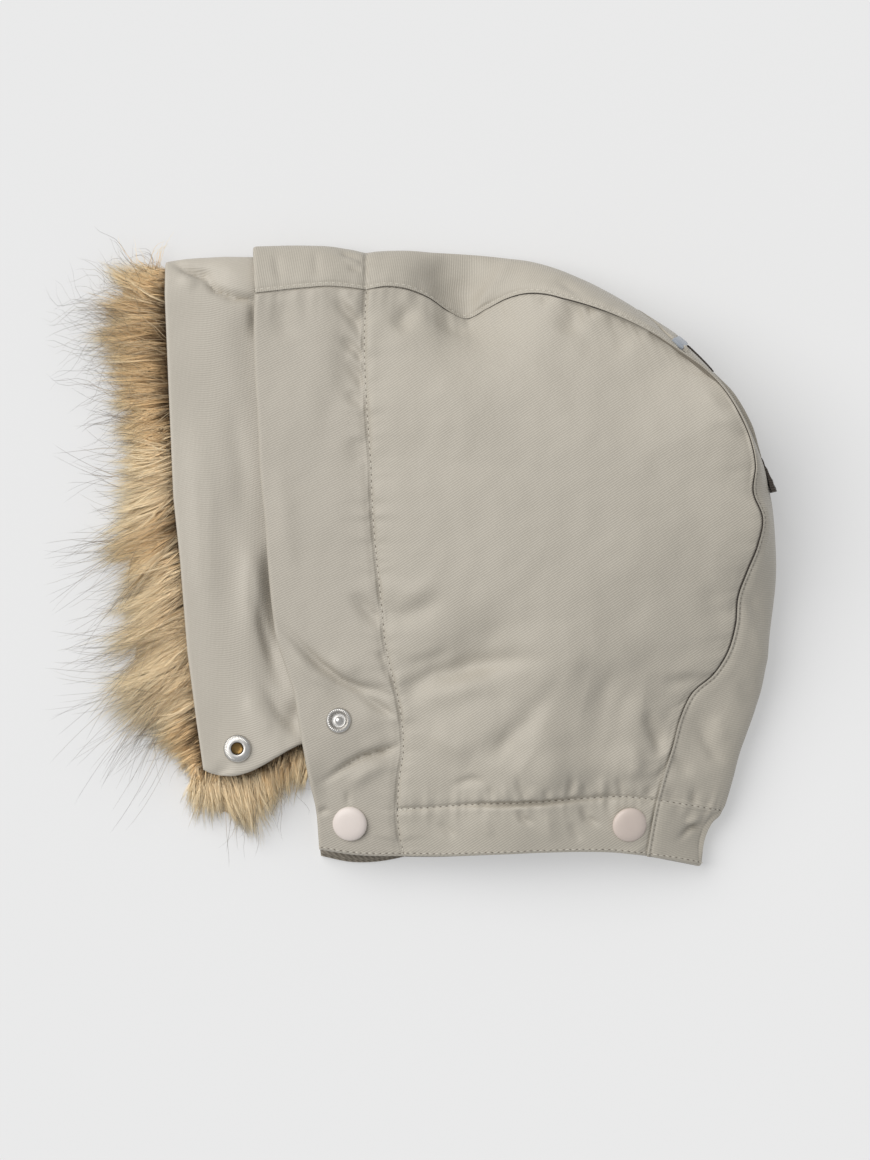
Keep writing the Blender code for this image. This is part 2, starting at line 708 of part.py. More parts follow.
def build_adjuster(crown, normals, collection):
    """Strap, reflective tab and tapes along the crown's midline, lifted off its cloth."""
    for piece in STRAP_PIECES:
        steps = max(1, round((piece.last - piece.first) / STRAP_STEP))
        under, over = [], []
        for i in range(steps + 1):
            station = piece.first + (piece.last - piece.first) * i / steps
            under_row, over_row = [], []
            for j in range(STRAP_COLUMNS + 1):
                across = piece.top + (piece.bottom - piece.top) * j / STRAP_COLUMNS
                point, normal = crown_point(crown, normals, station, across * AROUND_CROWN)
                under_row.append(point + normal * piece.lift)
                over_row.append(point + normal * (piece.lift + piece.thickness))
            under.append(under_row)
            over.append(over_row)
        closed_wall(piece.name, over, under, piece.slot, collection, -1)


def crown_point(crown, normals, station, across):
    """Point and normal of the crown between its grid points."""
    i, j = int(station), int(across)
    u, v = station - i, across - j
    place, normal = Vector(), Vector()
    for di, share_i in ((0, 1 - u), (1, u)):
        for dj, share_j in ((0, 1 - v), (1, v)):
            corner = crown[i + di][j + dj] if share_i * share_j else crown[i][j]
            place += corner * share_i * share_j
            normal += normals[key_of(corner)].normal * share_i * share_j
    return place, normal.normalized()


# ---- fur strip -----------------------------------------------------------------------------
def smooth_step(value):
    value = min(1.0, max(0.0, value))
    return value * value * (3 - 2 * value)


def band_edges(y):
    """Free and hidden edge of the strip at a height up the hood."""
    y = min(max(y, BAND[0].y), BAND[-1].y)
    span = max(i for i in range(len(BAND) - 1) if BAND[i].y <= y)
    low, high = BAND[span], BAND[span + 1]
    share = (y - low.y) / (high.y - low.y)
    free = low.free_x + (high.free_x - low.free_x) * share
    hidden = low.hidden_x + (high.hidden_x - low.hidden_x) * share
    return free, hidden


def band_end(across):
    """Where the strip ends, from its free edge (0) to its hidden edge (1)."""
    return BAND_END_Y + BAND_END_RISE * smooth_step((across - 0.2) / 0.8) + 3.0 * (1 - across) ** 12


def band_top(x, y):
    dips = 0.0
    for fold in BAND_FOLDS:
        start = Vector((fold.x1, fold.y1))
        along = Vector((fold.x2, fold.y2)) - start
        away = Vector((x, y)) - start
        share = min(1.0, max(0.0, away.dot(along) / along.length_squared))
        distance = (away - along * share).length
        dips += fold.height * math.exp(-((distance / fold.width) ** 2))
    return BAND_TOP + dips


def band_under(x):
    drop = smooth_step((x - BAND_DROP_TO) / (BAND_DROP_FROM - BAND_DROP_TO))
    return BAND_UNDER * drop


def band_point(across, path, end_y):
    """Point of the strip's outer face. The path runs from the upper end (0) to the start of
    the fold (1), around it (2) and down to the lower end (3)."""
    if path <= 1 or path >= 2:
        up = path if path <= 1 else 3 - path
        y = end_y + (BAND_FOLD_CENTRE - end_y) * up
        free, hidden = band_edges(y)
        x = free + (hidden - free) * across
        return Vector((x, y, band_top(x, y) if path <= 1 else band_under(x)))
    angle = math.pi * (path - 1)
    reach = BAND_FOLD_REACH - 2.2 * (1 - across) ** 6
    y = BAND_FOLD_CENTRE + reach * math.sin(angle)
    free, hidden = band_edges(y)
    x = free + (hidden - free) * across
    top = band_top(x, y) if angle < math.pi / 2 else BAND_TOP
    half = top - BAND_MIDDLE if angle < math.pi / 2 else BAND_MIDDLE - band_under(x)
    return Vector((x, y, BAND_MIDDLE + half * math.cos(angle)))


def build_band(collection):
    """The cloth strip in one piece: upper run, turn over the crown and lower run."""
    paths = [i / BAND_ROWS_RUN for i in range(BAND_ROWS_RUN)]
    paths += [1 + i / BAND_ROWS_FOLD for i in range(BAND_ROWS_FOLD)]
    paths += [2 + i / BAND_ROWS_RUN for i in range(BAND_ROWS_RUN + 1)]
    shares = [j / BAND_COLUMNS for j in range(BAND_COLUMNS + 1)]
    outer = [[band_point(share, path, band_end(share)) for share in shares] for path in paths]
    normals = skin_normals([(outer, 1)])
    inner = [[point - normals[key_of(point)].normal * BAND_WALL for point in row] for row in outer]
    return closed_wall("trim_band", outer, inner, "trim_cloth", collection)


def pile_room(x, y):
    """Lowest and highest point of the pile between the two runs of the strip."""
    low = band_under(x) + BAND_WALL + PILE_CLEARANCE
    into = (y - BAND_FOLD_CENTRE) / (BAND_FOLD_REACH - BAND_WALL - PILE_CLEARANCE - 2.5)
    squeeze = math.sqrt(max(0.04, 1 - max(0.0, into) ** 2))
    return (BAND_MIDDLE + (low - BAND_MIDDLE) * squeeze,
            BAND_MIDDLE + (PILE_INSIDE - BAND_MIDDLE) * squeeze)


def with_notches(tufts):
    """Every tuft, and between two of them the shorter pile that parts them."""
    rows = []
    for i, tuft in enumerate(tufts):
        if i:
            last = tufts[i - 1]
            root = Vector((last.root_x + tuft.root_x, last.root_y + tuft.root_y)) / 2
            tip = Vector((last.tip_x + tuft.tip_x, last.tip_y + tuft.tip_y)) / 2
            rows.append((root, root + (tip - root) * NOTCH_REACH, NOTCH_HEIGHT))
        rows.append((Vector((tuft.root_x, tuft.root_y)), Vector((tuft.tip_x, tuft.tip_y)), 1.0))
    return rows


def pile_outside(root, tip, crest, height, room):
    """Upper and lower points of the pile from the strip's edge out to a tip."""
    over, under = [], []
    for stage in PILE_STAGES:
        flat = root + (tip - root) * stage.along
        top = height * stage.height * (1 + (crest - 1) * min(1.0, stage.along * 2.5))
        low = 0.0
        if stage.along == 0.0:
            low, top = room[0], min(top, room[1])
        over.append(Vector((flat.x, flat.y, top)))
        under.append(Vector((flat.x, flat.y, low)))
    over.append(Vector((tip.x, tip.y, TIP_HEIGHT)))
    under.append(Vector((tip.x, tip.y, TIP_HEIGHT / 3)))
    return over, under


def build_side_pile(collection):
    """Fur between the two runs of the strip and out past its free edge."""
    start_y, last_y = -50.0, TUFTS[-1].root_y
    over, under = [], []
    for root, tip, crest in with_notches(TUFTS):
        over_row, under_row = [], []
        for across in (0.93, 0.6, 0.28, 0.04):
            cut = band_end(across) + PILE_SPLIT
            y = root.y
            if y < start_y:
                y = start_y + (start_y - root.y) / (start_y - last_y) * (cut - start_y)
            free, hidden = band_edges(y)
            x = free + (hidden - free) * across
            low, high = pile_room(x, y)
            over_row.append(Vector((x, y, high)))
            under_row.append(Vector((x, y, low)))
        outside = pile_outside(root, tip, crest, PILE_HEIGHT, pile_room(root.x, root.y))
        over.append(over_row + outside[0])
        under.append(under_row + outside[1])
    return closed_wall("fur_side", over, under, "fur", collection)


def build_end_pile(collection):
    """Fur that hangs out below the end of the strip."""
    over, under = [], []
    for root, tip, crest in with_notches(END_TUFTS):
        over_row, under_row = [], []
        free, hidden = band_edges(BAND[0].y)
        across = max(0.03, (root.x - free) / (hidden - free))
        for inside in (PILE_SPLIT - 2 * PILE_CLEARANCE, PILE_SPLIT / 2, 1.5):
            y = band_end(across) + inside
            free, hidden = band_edges(y)
            x = max(free + (hidden - free) * across, free + 2.2)
            over_row.append(Vector((x, y, BAND_TOP - BAND_WALL - PILE_SEAT)))
            under_row.append(Vector((x, y, pile_room(x, y)[0])))
        outside = pile_outside(root, tip, crest, PILE_END_HEIGHT, pile_room(root.x, root.y))
        over.append(over_row + outside[0])
        under.append(under_row + outside[1])
    return closed_wall("fur_end", over, under, "fur", collection)


# ---- snaps -----------------------------------------------------------------------------------
Profile = namedtuple("Profile", "radius height")


def cap_profile(radius, height):
    """Plain domed cap: no lettering."""
    return [Profile(0, height), Profile(radius * 0.5, height * 0.97),
            Profile(radius * 0.8, height * 0.84), Profile(radius * 0.95, height * 0.55),
            Profile(radius, height * 0.22), Profile(radius * 0.96, 0), Profile(0, 0)]


def stud_profile(radius, height):
    """Ring with a ball in its middle."""
    return [Profile(0, height), Profile(radius * 0.22, height * 0.93),
            Profile(radius * 0.34, height * 0.66), Profile(radius * 0.26, height * 0.34),
            Profile(radius * 0.52, height * 0.22), Profile(radius * 0.64, height * 0.48),
            Profile(radius * 0.84, height * 0.54), Profile(radius * 0.98, height * 0.34),
            Profile(radius, 0), Profile(0, 0)]


def socket_profile(radius, height):
    """Ring around the blind hole that takes the stud."""
    return [Profile(0, height * 0.3), Profile(radius * 0.43, height * 0.3),
            Profile(radius * 0.46, height * 0.8), Profile(radius * 0.6, height),
            Profile(radius * 0.84, height * 0.9), Profile(radius * 0.98, height * 0.5),
            Profile(radius, 0), Profile(0, 0)]


def turned(name, profile, slot, collection):
    """Turn a profile of radius and height around Z."""
    mesh = bpy.data.meshes.new(name)
    points = [(row.radius * MM, 0, row.height * MM) for row in profile]
    mesh.from_pydata(points, [(i, i + 1) for i in range(len(points) - 1)], [])
    piece = add_object(name, mesh, slot, collection)
    screw = piece.modifiers.new("turn", "SCREW")
    screw.steps = screw.render_steps = ROUND_STEPS
    screw.use_merge_vertices = True
    screw.merge_threshold = 0.00001
    screw.use_smooth_shade = True
    return piece


def seat_on(piece, panel, place, radius, from_below=False):
    """Stand a snap part on the cloth under it, square to the cloth and just clear of it."""
    tree = BVHTree.FromPolygons([v.co for v in panel.data.vertices],
                                [tuple(p.vertices) for p in panel.data.polygons])
    ray = Vector((0, 0, 1 if from_below else -1))
    start = 0.2 * -ray.z
    centre = Vector((place.x, place.y)) * MM
    rim = []
    for k in range(ROUND_STEPS):
        angle = 2 * math.pi * k / ROUND_STEPS
        flat = centre + Vector((math.cos(angle), math.sin(angle))) * radius * MM
        rim.append(tree.ray_cast(Vector((flat.x, flat.y, start)), ray)[0])
    middle = sum(rim, Vector()) / len(rim)
    normal = Vector()
    for one, two in zip(rim, rim[1:] + rim[:1]):
        normal += (one - middle).cross(two - middle)
    normal.normalize()
    if from_below:
        normal = -normal
    hit = tree.ray_cast(Vector((centre.x, centre.y, start)), ray)[0]
    lift = max((point - middle).dot(normal) for point in rim + [hit])
    piece.location = middle + normal * (lift + REST_GAP * MM)
    piece.rotation_euler = Vector((0, 0, 1)).rotation_difference(normal).to_euler()


def press_in(piece, panel, place, radius, cutters):
    """Lay a snap part flush in the underside, in a pocket of the cloth."""
    piece.location = Vector((place.x, place.y, 0)) * MM
    depth = (UNDER_SNAP_HEIGHT + POCKET_CLEARANCE) * MM
    bpy.ops.mesh.primitive_cylinder_add(
        vertices=ROUND_STEPS, radius=(radius + POCKET_CLEARANCE) * MM, depth=depth * 2,
        location=piece.location)
    cutter = bpy.context.object
    cutter.name = piece.name + "_pocket"
    cutter.hide_render = True
    cutter.display_type = "WIRE"
    for collection in cutter.users_collection:
        collection.objects.unlink(cutter)
    cutters.objects.link(cutter)
    cut = panel.modifiers.new(cutter.name, "BOOLEAN")
    cut.operation = "DIFFERENCE"
    cut.solver = "EXACT"
    cut.object = cutter


def build_snaps(panels, band, collection, cutters):
    cap, stud, socket = CAP_DIAMETER / 2, STUD_DIAMETER / 2, SOCKET_DIAMETER / 2
    for name, place, panel in (("cap_front", CAP_FRONT, "brim_upper"),
                               ("cap_back", CAP_BACK, "side_upper")):
        piece = turned(name, cap_profile(cap, CAP_HEIGHT), "cap", collection)
        seat_on(piece, panels[panel], place, cap)
    piece = turned("stud", stud_profile(stud, STUD_HEIGHT), "snap_metal", collection)
    seat_on(piece, panels["brim_upper"], STUD, stud)
    piece = turned("socket", socket_profile(socket, SOCKET_HEIGHT), "snap_metal", collection)
    seat_on(piece, band, SOCKET, socket)
    piece = turned("socket_under", socket_profile(socket, BAND_WALL / 2), "snap_metal", collection)
    seat_on(piece, band, SOCKET, socket, from_below=True)
    disc = [Profile(0, UNDER_SNAP_HEIGHT), Profile(1, UNDER_SNAP_HEIGHT), Profile(1, 0), Profile(0, 0)]
    for name, place, panel, radius, slot in (
            ("cap_front_under", CAP_FRONT, "brim_lower", cap, "cap"),
            ("cap_back_under", CAP_BACK, "side_lower", cap, "cap"),
            ("stud_under", STUD, "brim_lower", stud, "snap_metal")):
        flat = [Profile(row.radius * radius, row.height) for row in disc]
        piece = turned(name, flat, slot, collection)
        press_in(piece, panels[panel], place, radius, cutters)


def build():
    clear_scene()
    hood = new_collection("snowsuit_hood")
    cutters = new_collection("cutters")
    panels, crown, normals, brim_under = build_hood(hood)
    build_hem_lining(brim_under, hood)
    build_adjuster(crown, normals, hood)
    band = build_band(hood)
    build_side_pile(hood)
    build_end_pile(hood)
    build_snaps(panels, band, hood, cutters)
    for piece in list(hood.objects) + list(cutters.objects):
        piece.location -= Vector(MIDDLE) * MM


build()
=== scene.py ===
import math
import random

import bpy
from mathutils import Matrix, Vector, noise
from mathutils.bvhtree import BVHTree


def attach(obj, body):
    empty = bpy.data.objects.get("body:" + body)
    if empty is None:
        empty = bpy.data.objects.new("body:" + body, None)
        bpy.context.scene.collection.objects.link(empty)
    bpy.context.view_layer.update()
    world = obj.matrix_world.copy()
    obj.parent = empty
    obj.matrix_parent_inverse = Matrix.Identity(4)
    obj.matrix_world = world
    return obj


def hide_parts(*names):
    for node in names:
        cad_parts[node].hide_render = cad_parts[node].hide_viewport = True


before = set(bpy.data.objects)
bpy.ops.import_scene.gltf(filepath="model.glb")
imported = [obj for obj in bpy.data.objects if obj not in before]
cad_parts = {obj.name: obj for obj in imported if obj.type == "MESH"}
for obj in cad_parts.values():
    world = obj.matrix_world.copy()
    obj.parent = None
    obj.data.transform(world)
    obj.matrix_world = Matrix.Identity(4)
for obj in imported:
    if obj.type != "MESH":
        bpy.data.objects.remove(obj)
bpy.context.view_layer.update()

# Tables are in millimetres on the plane the hood lies on: x from the face (-) to the back of
# the head (+), y from the neck (-) to the crown (+). middle is the part's own origin there.
middle = Vector((1.56, 2.96, 0.0))
mm = 0.001


def placed(point):
    return (point - middle) * mm


def smoothStep(value):
    value = min(1.0, max(0.0, value))
    return value * value * (3 - 2 * value)


def heading(degrees):
    return Vector((math.cos(math.radians(degrees)), math.sin(math.radians(degrees)), 0.0))


def spanOf(places, value):
    return max(i for i in range(len(places) - 1) if places[i] <= value)


def rowAt(rows, value):
    # a table read at a value of its first column, in a straight line between two rows
    ordered = rows if rows[-1][0] > rows[0][0] else rows[::-1]
    value = min(max(value, ordered[0][0]), ordered[-1][0])
    span = spanOf([row[0] for row in ordered], value)
    low, high = ordered[span], ordered[span + 1]
    share = (value - low[0]) / (high[0] - low[0])
    return [a + (b - a) * share for a, b in zip(low, high)]


def turnedEdge(distance, reach):
    # 0 on the flat of a sheet and 1 at its rim, for an edge that is rounded over its reach
    return 1 - math.sqrt(max(0.0, 1 - (1 - distance / reach) ** 2)) if distance < reach else 0.0


def linked(name, data):
    piece = bpy.data.objects.new(name, data)
    bpy.context.scene.collection.objects.link(piece)
    return piece


# The cut of the hood, with the same seams and edges as its solids
hoodCut = {
    "crown": [   # upper seam x y z, widest edge x y
        (-69.7, 113.1, 23.5, -70.5, 132.9), (-50.3, 115.2, 24, -50.3, 133.3),
        (-35.3, 116.1, 24.5, -35.3, 132.7), (-21.9, 114.8, 24, -21.9, 130.5),
        (-9.5, 116.1, 24, -8.2, 131.2), (5.6, 110.9, 20, 6.5, 130.3), (20.6, 102.1, 15, 21.9, 129.4),
        (35.7, 109.7, 19, 35.7, 128.1), (48.6, 113.1, 26, 50.7, 126), (66.2, 109.7, 35, 70.1, 119.1),
        (87.3, 102.3, 42, 91.6, 107.5), (105.8, 92.5, 46, 110, 94.6), (113.1, 87.4, 47, 115.7, 89.9),
        (127.5, 76.3, 48, 128.2, 77), (136.3, 64.5, 49, 137, 65), (141.9, 52.9, 49, 143, 53.2),
        (145.3, 40.6, 47, 148.4, 39.5), (143.8, 30.3, 44, 151.2, 27.5), (148.4, 15.5, 41, 153.1, 14.6),
        (146.2, 4.3, 38, 153.9, 1.7), (138, -17.2, 32, 153.3, -17.6), (136.7, -30.5, 30, 151.4, -32.7),
        (130.5, -47.3, 27, 148.8, -53.3), (117.4, -60.2, 24, 143.2, -71.4), (109.7, -82.6, 23, 138, -86.4),
        (103.2, -104.7, 20.5, 131.2, -109.7), (100.6, -117.8, 19, 124.4, -118.7),
        (98.8, -129, 16.5, 122.1, -133.3),
    ],
    "brimSeam": [
        (-22.8, 92.9, 26.5), (-21.9, 67.1, 28.5), (-20.2, 42.1, 29.5), (-18.9, 14.6, 30),
        (-15.9, -15.9, 29.5), (-12.9, -42.6, 28.5), (-8.6, -59.8, 27), (-6, -80.8, 24.5), (-8.2, -98.9, 22),
        (-8.6, -108.6, 20.5), (-8.2, -117, 18.5), (-5.6, -129.2, 15.5),
    ],
    "front": [
        (-70.1, 96.3, 24), (-69.7, 78.7, 24.2), (-68.4, 56.8, 24.4), (-67.5, 37, 24.4), (-65.4, 14.6, 24.4),
        (-63.2, -13.8, 24.4), (-59.8, -38.3, 24.2), (-53.3, -56.8, 24), (-50.3, -75.3, 24),
        (-46, -96.3, 22), (-43.6, -108, 18.5), (-42.1, -126.2, 14.5),
    ],
    "crownBreaks": [0, 3, 12, 25, 27], "brimBreaks": [0, 10, 12], "frontBreaks": [0, 11, 12],   # corners
    "stitch": [(9.9, -107.5, 21.5), (24.5, -106.2, 22.5), (45, -105.3, 23), (70, -103.9, 22.5),
               (89.4, -103.2, 21.5)],
    "neck": [(9.9, -129.3, 17), (35.7, -128.1, 18.5), (61.5, -127.1, 18.5), (85, -127.5, 17.5)],
    "brimNeck": [(-28, -128.4, 15)], "brimNeckUnder": [(-29, -131.4, 0), (-14.5, -131, 0)],
    "footShift": (0.8, -2.6), "footShares": (1, 0.5, 0.15),   # how the brim's lower front corner drops
    "shoulder": 25, "edgeHeight": 0.45, "underInset": 8, "around": 10, "dome": 13,
}
acrossBrim, alongCrown, downBack, overHem = 6, 16, 18, 3   # steps from seam to seam
hemRow = acrossBrim + alongCrown + downBack

# Creases: half width, height (- sinks, + rises), lean that makes one flank steeper, points.
mainFolds = [
    (11, -3, 0, (20, 124), (22, 104)), (10, -2, 0, (14, 92), (40, 97)), (9, 0.8, 0, (122, 66), (134, 42)),
    (14, -3.5, 0, (30, -45), (70, -78)), (10, -2, 0, (-6, -62), (30, -38)),
    (9, -2.5, 0, (100, -52), (116, -78)), (6, -1.6, 0, (60, 108), (78, 92)),
    (5, -1.8, 0, (-43, -52), (-14, -66)), (5, -1.8, 0, (-41, -96), (-10, -83)),
    (6, -1.4, 0, (-36, 60), (-24, 100)), (6, -1.8, 0, (120, -62), (134, -92)),
    (5, 0.8, 0, (58, -92), (62, -99)), (5, 0.8, 0, (84, -92), (86, -99)),
]
brimCreases = [
    (2.6, -1.6, 0.5, (-35.4, 111.2), (-30, 105), (-26.2, 99.8), (-23.2, 93.5)),
    (3, 0.8, 0, (-30, 111), (-25, 102)), (2.4, -1.3, 0.5, (-33.1, 92.9), (-27.1, 88.2), (-23.2, 82.1)),
    (2.4, -1.3, 0.5, (-31, 84.3), (-26.2, 76.5), (-23, 71)), (2.6, 0.6, 0, (-30, 89), (-24, 78)),
    (2.2, -0.9, 0.4, (-31, 70.5), (-27, 66.6), (-22.4, 62.8)), (4, -0.7, 0, (-28.8, 51.6), (-22.4, 40)),
    (5, -0.8, 0, (-60, 110), (-54, 92)),
    (2, -1.6, 0.8, (-61, -28), (-50, -39.5), (-42.1, -47.3), (-34.4, -52.5), (-25.5, -56.1),
     (-17.6, -57.9), (-9.7, -60.5)), (3.2, 0.8, 0, (-56, -39), (-46, -50), (-36, -57)),
    (3.4, 0.6, 0, (-38, -44), (-24, -50)), (2, -1.1, 0.6, (-27, -56.5), (-15.9, -64.9), (-8, -70)),
    (3, -1.2, 0.3, (-27.2, -15.8), (-21, -24.5), (-15.9, -30.5)),
    (2.2, -1, 0.3, (-17.6, -41.3), (-13.3, -45.6), (-9.5, -54)),
    (1.5, -1.5, -0.8, (-6.1, -80.7), (-14.2, -84.3), (-22.8, -86.9), (-32.7, -92), (-41.3, -97.2)),
    (3.2, 1.2, 0, (-10, -88), (-20, -92), (-30, -98)), (3, 0.6, 0, (-12, -78), (-24, -83)),
    (1.3, -0.5, 0, (-29.9, -100), (-29.5, -107)), (1.6, -0.8, 0, (-43.5, -111), (-37.8, -108.4)),
    (5, 0.6, 0, (-60, 40), (-54, -10)), (3, -0.6, 0, (-36, -118), (-18, -121)),
]
sideCreases = [
    (4.2, -1.9, 0, (-9.5, 97), (-6, 102), (-3.5, 108)),
    (3.5, -1.2, 0, (5, 103.5), (12, 99.5), (18.5, 96), (26, 97)),
    (4.6, -1.6, 0.2, (66, 110), (65, 101), (63, 94)), (5, -1.1, 0, (81, 103), (84, 95), (89, 87)),
    (1.6, -0.9, 0, (54, 113), (55, 106)), (1.6, -1, 0, (72, 108), (73.5, 101)),
    (1.6, -0.5, 0, (80.5, 105), (82, 98)), (1.8, -0.4, 0, (92, 100), (95, 93)),
    (3.2, 0.5, 0, (118, 78), (126.4, 67.5), (132.7, 60.3), (138.9, 48.6)),
    (3, -0.3, 0, (128, 73), (136, 60), (141, 47)),
    (4, -1, 0, (-14.2, -24.5), (-6.1, -26.2), (3.4, -21.9), (12.3, -16.6)),
    (4, 0.7, 0, (-10, -19), (0, -15), (9, -9)),
    (3, -0.8, 0, (-11.6, -46.4), (-1.8, -46.4), (6.9, -43.9), (15.8, -40.3)),
    (4, -1.4, 0.5, (-8, -58), (-1.7, -56.1), (6.9, -51.6), (14, -50.7), (24.5, -47.3), (42.1, -44.7),
     (59.6, -43)), (4.6, 1.1, 0, (-4, -64), (8, -60), (22, -56), (40, -52)),
    (6, 1.2, 0, (6, -76), (24, -84)), (5, -1.5, -0.5, (60, -55), (46.4, -71.8), (36, -80), (26, -88)),
    (1.8, -1, 0.3, (13.2, -99.1), (22.8, -96.3), (28, -97.4)),
    (3, -1.6, 0.4, (98.5, -66), (99.5, -72), (102.8, -79), (104, -87)),
    (3.6, 1.1, 0, (92, -79), (94, -88), (92, -96)),
    (3, -0.9, 0, (105.4, -54.2), (113, -54), (121.3, -51.6)),
    (4.5, -0.5, 0, (128, -10), (126, -20), (130, -32)), (12, -1.7, 0, (72, -60), (97, -64)),
    (7, -1.3, 0, (33, -78), (46, -87)), (20, 2, 0, (54, -98), (56, -28)), (36, 2.2, 0, (14, 40), (20, 116)),
    (18, 0.9, 0, (46, 60), (52, 116)), (1.7, -0.7, 0, (64.3, -93), (65.2, -98), (64.5, -103)),
    (1.5, -0.6, 0, (71.6, -97), (72.9, -104)), (1.7, -0.8, 0, (86, -94), (87.5, -99), (89, -104)),
    (1.5, -0.6, 0, (98.9, -98), (100.2, -104)), (1.8, -1, 0, (42, -92), (44, -99), (46, -104)),
    (1.5, -0.8, 0, (30, -98), (32, -105)), (1.5, -0.8, 0, (54, -97), (55, -104)),
    (2.2, 0.8, 0, (49, -96), (50, -103)), (2.2, 0.6, 0, (68, -95), (68.5, -103)),
    (2.4, 0.6, 0, (80, -94), (81, -103)), (2, 0.6, 0, (36, -97), (38, -104)),
    (1.6, -1.1, 0.3, (41.3, -107), (44.7, -112.2), (49.9, -114.8)),
    (1.8, -1, 0.3, (70.5, -105.4), (73.1, -112.2), (79.1, -115.7)),
    (1.8, -0.6, 0, (8.6, -114), (15.8, -121)), (2, -0.6, 0, (66, -113), (70, -123)),
    (2.2, 0.5, 0, (27, -110), (31, -121)), (3.2, 0.5, 0, (56, -110), (58, -122)),
    (7, -1.2, 0, (66, -46), (88, -60)), (9, 1.2, 0, (46, -92), (84, -88)),
    (38, -3.6, 0, (90, 130), (124, 56)), (24, 2.6, 0, (44, -136), (46, -62)),
]
crownCreases = [
    (8, -1.8, 0, (7, 129), (12, 118), (19, 106)), (3.2, 1.3, 0.3, (42, 127.5), (33, 116), (23.5, 103)),
    (1.2, -0.9, 0, (-33, 130.5), (-23, 127)), (1.2, -0.8, 0, (-29, 124), (-22.5, 123)),
    (1.4, 0.6, 0, (-30, 128), (-23, 125.5)),
    (2.4, -1, 0.4, (121, -73), (123, -79), (127.5, -86), (131.9, -90)),
    (3.2, 0.6, 0, (128, -69), (133, -80)), (2.2, -1.1, 0.3, (108, -85), (117.8, -95)),
    (2.6, -0.9, 0.2, (139, -14), (149, -31)), (2.6, 0.7, 0, (143, -30), (149, -48)),
    (1.5, -1.7, 0.5, (112, -121.5), (117, -117), (120, -116.3), (124.5, -118)),
    (2, 1.2, 0, (115, -114), (123, -113.5)), (3, -0.8, 0, (138, -52), (146, -66)),
    (12, -1.8, 0, (122, -92), (118, -140)), (2, -0.9, 0, (108, -99), (110, -107)),
    (1.7, -0.9, 0, (118, -100), (120, -107)), (2, -0.7, 0, (60, 118), (72, 110)),
    (1.8, -0.6, 0, (-60, 131), (-58, 118)), (2, -0.5, 0, (-44, 131), (-42, 118)),
]
creaseReach, creaseEnds = 2.6, 1.2   # half widths that a crease is felt over, and how its ends fade


def creaseAt(point, creases, taper=True):
    total = 0.0
    for width, height, lean, *path in creases:
        spans = len(path) - 1
        nearest = None
        for k in range(spans):
            (x1, y1), (x2, y2) = path[k], path[k + 1]
            alongX, alongY = x2 - x1, y2 - y1
            awayX, awayY = point.x - x1, point.y - y1
            share = (awayX * alongX + awayY * alongY) / (alongX * alongX + alongY * alongY)
            held = min(1.0, max(0.0, share))
            distance = math.hypot(awayX - alongX * held, awayY - alongY * held)
            if nearest is None or distance < nearest[0]:
                nearest = (distance, (k + held) / spans, alongX * awayY - alongY * awayX)
        away = nearest[0] / width
        if away < creaseReach:
            shape = math.exp(-away * away) * (1 + lean * math.copysign(away, nearest[2]))
            total += height * shape * (smoothStep(creaseEnds - abs(2 * nearest[1] - 1)) if taper else 1.0)
    return total


def stationsOf(rows, breaks, counts):
    # evenly spaced readings of a smooth curve through the rows, between its break rows
    knots = [0.0]
    for one, two in zip(rows, rows[1:]):
        knots.append(knots[-1] + math.dist(one[:3], two[:3]))
    last = len(rows) - 1
    slopes = []
    for i, row in enumerate(rows):
        before, after = max(i - 1, 0), min(i + 1, last)
        left, right = knots[i] - knots[before], knots[after] - knots[i]
        slope = []
        for low, here, high in zip(rows[before], row, rows[after]):
            if left == 0.0 or right == 0.0:
                slope.append((high - low) / (left + right))
            else:
                slope.append(((here - low) / left * right + (high - here) / right * left) / (left + right))
        slopes.append(slope)
    places = []
    for first, end, count in zip(breaks, breaks[1:], counts):
        step = (knots[end] - knots[first]) / count
        places += [knots[first] + step * k for k in range(count)]
    readings = []
    for place in places + [knots[breaks[-1]]]:
        span = spanOf(knots, place + 1e-9)
        length = knots[span + 1] - knots[span]
        t = min(1.0, (place - knots[span]) / length)
        a, b, c, d = 2 * t**3 - 3 * t**2 + 1, t**3 - 2 * t**2 + t, 3 * t**2 - 2 * t**3, t**3 - t**2
        readings.append([a * p + b * length * m + c * q + d * length * n for p, m, q, n in
                         zip(rows[span], slopes[span], rows[span + 1], slopes[span + 1])])
    return readings


def curveOf(rows, breaks, counts):
    return [Vector(reading[:3]) for reading in stationsOf(rows, breaks, counts)]


def curveBetween(start, inner, end, count):
    # one smooth run from a corner through the inner points to the next corner
    row = [tuple(start)] + inner + [tuple(end)]
    return curveOf(row, [0, len(row) - 1], [count])


def patchBetween(left, right, top, bottom):
    rows, columns = len(left) - 1, len(top) - 1
    grid = []
    for i in range(rows + 1):
        v = i / rows
        line = []
        for j in range(columns + 1):
            u = j / columns
            corners = (1 - v) * ((1 - u) * top[0] + u * top[-1]) + v * ((1 - u) * bottom[0] + u * bottom[-1])
            line.append((1 - v) * top[j] + v * bottom[j] + (1 - u) * left[i] + u * right[i] - corners)
        line[0], line[-1] = left[i].copy(), right[i].copy()
        grid.append(line)
    grid[0], grid[-1] = [point.copy() for point in top], [point.copy() for point in bottom]
    return grid


def evenedOut(grid, rounds=40):
    for _ in range(rounds):
        smooth = [[point.copy() for point in line] for line in grid]
        for i in range(1, len(grid) - 1):
            for j in range(1, len(grid[0]) - 1):
                smooth[i][j] = (grid[i - 1][j] + grid[i + 1][j] + grid[i][j - 1] + grid[i][j + 1]) / 4
        grid = smooth
    return grid


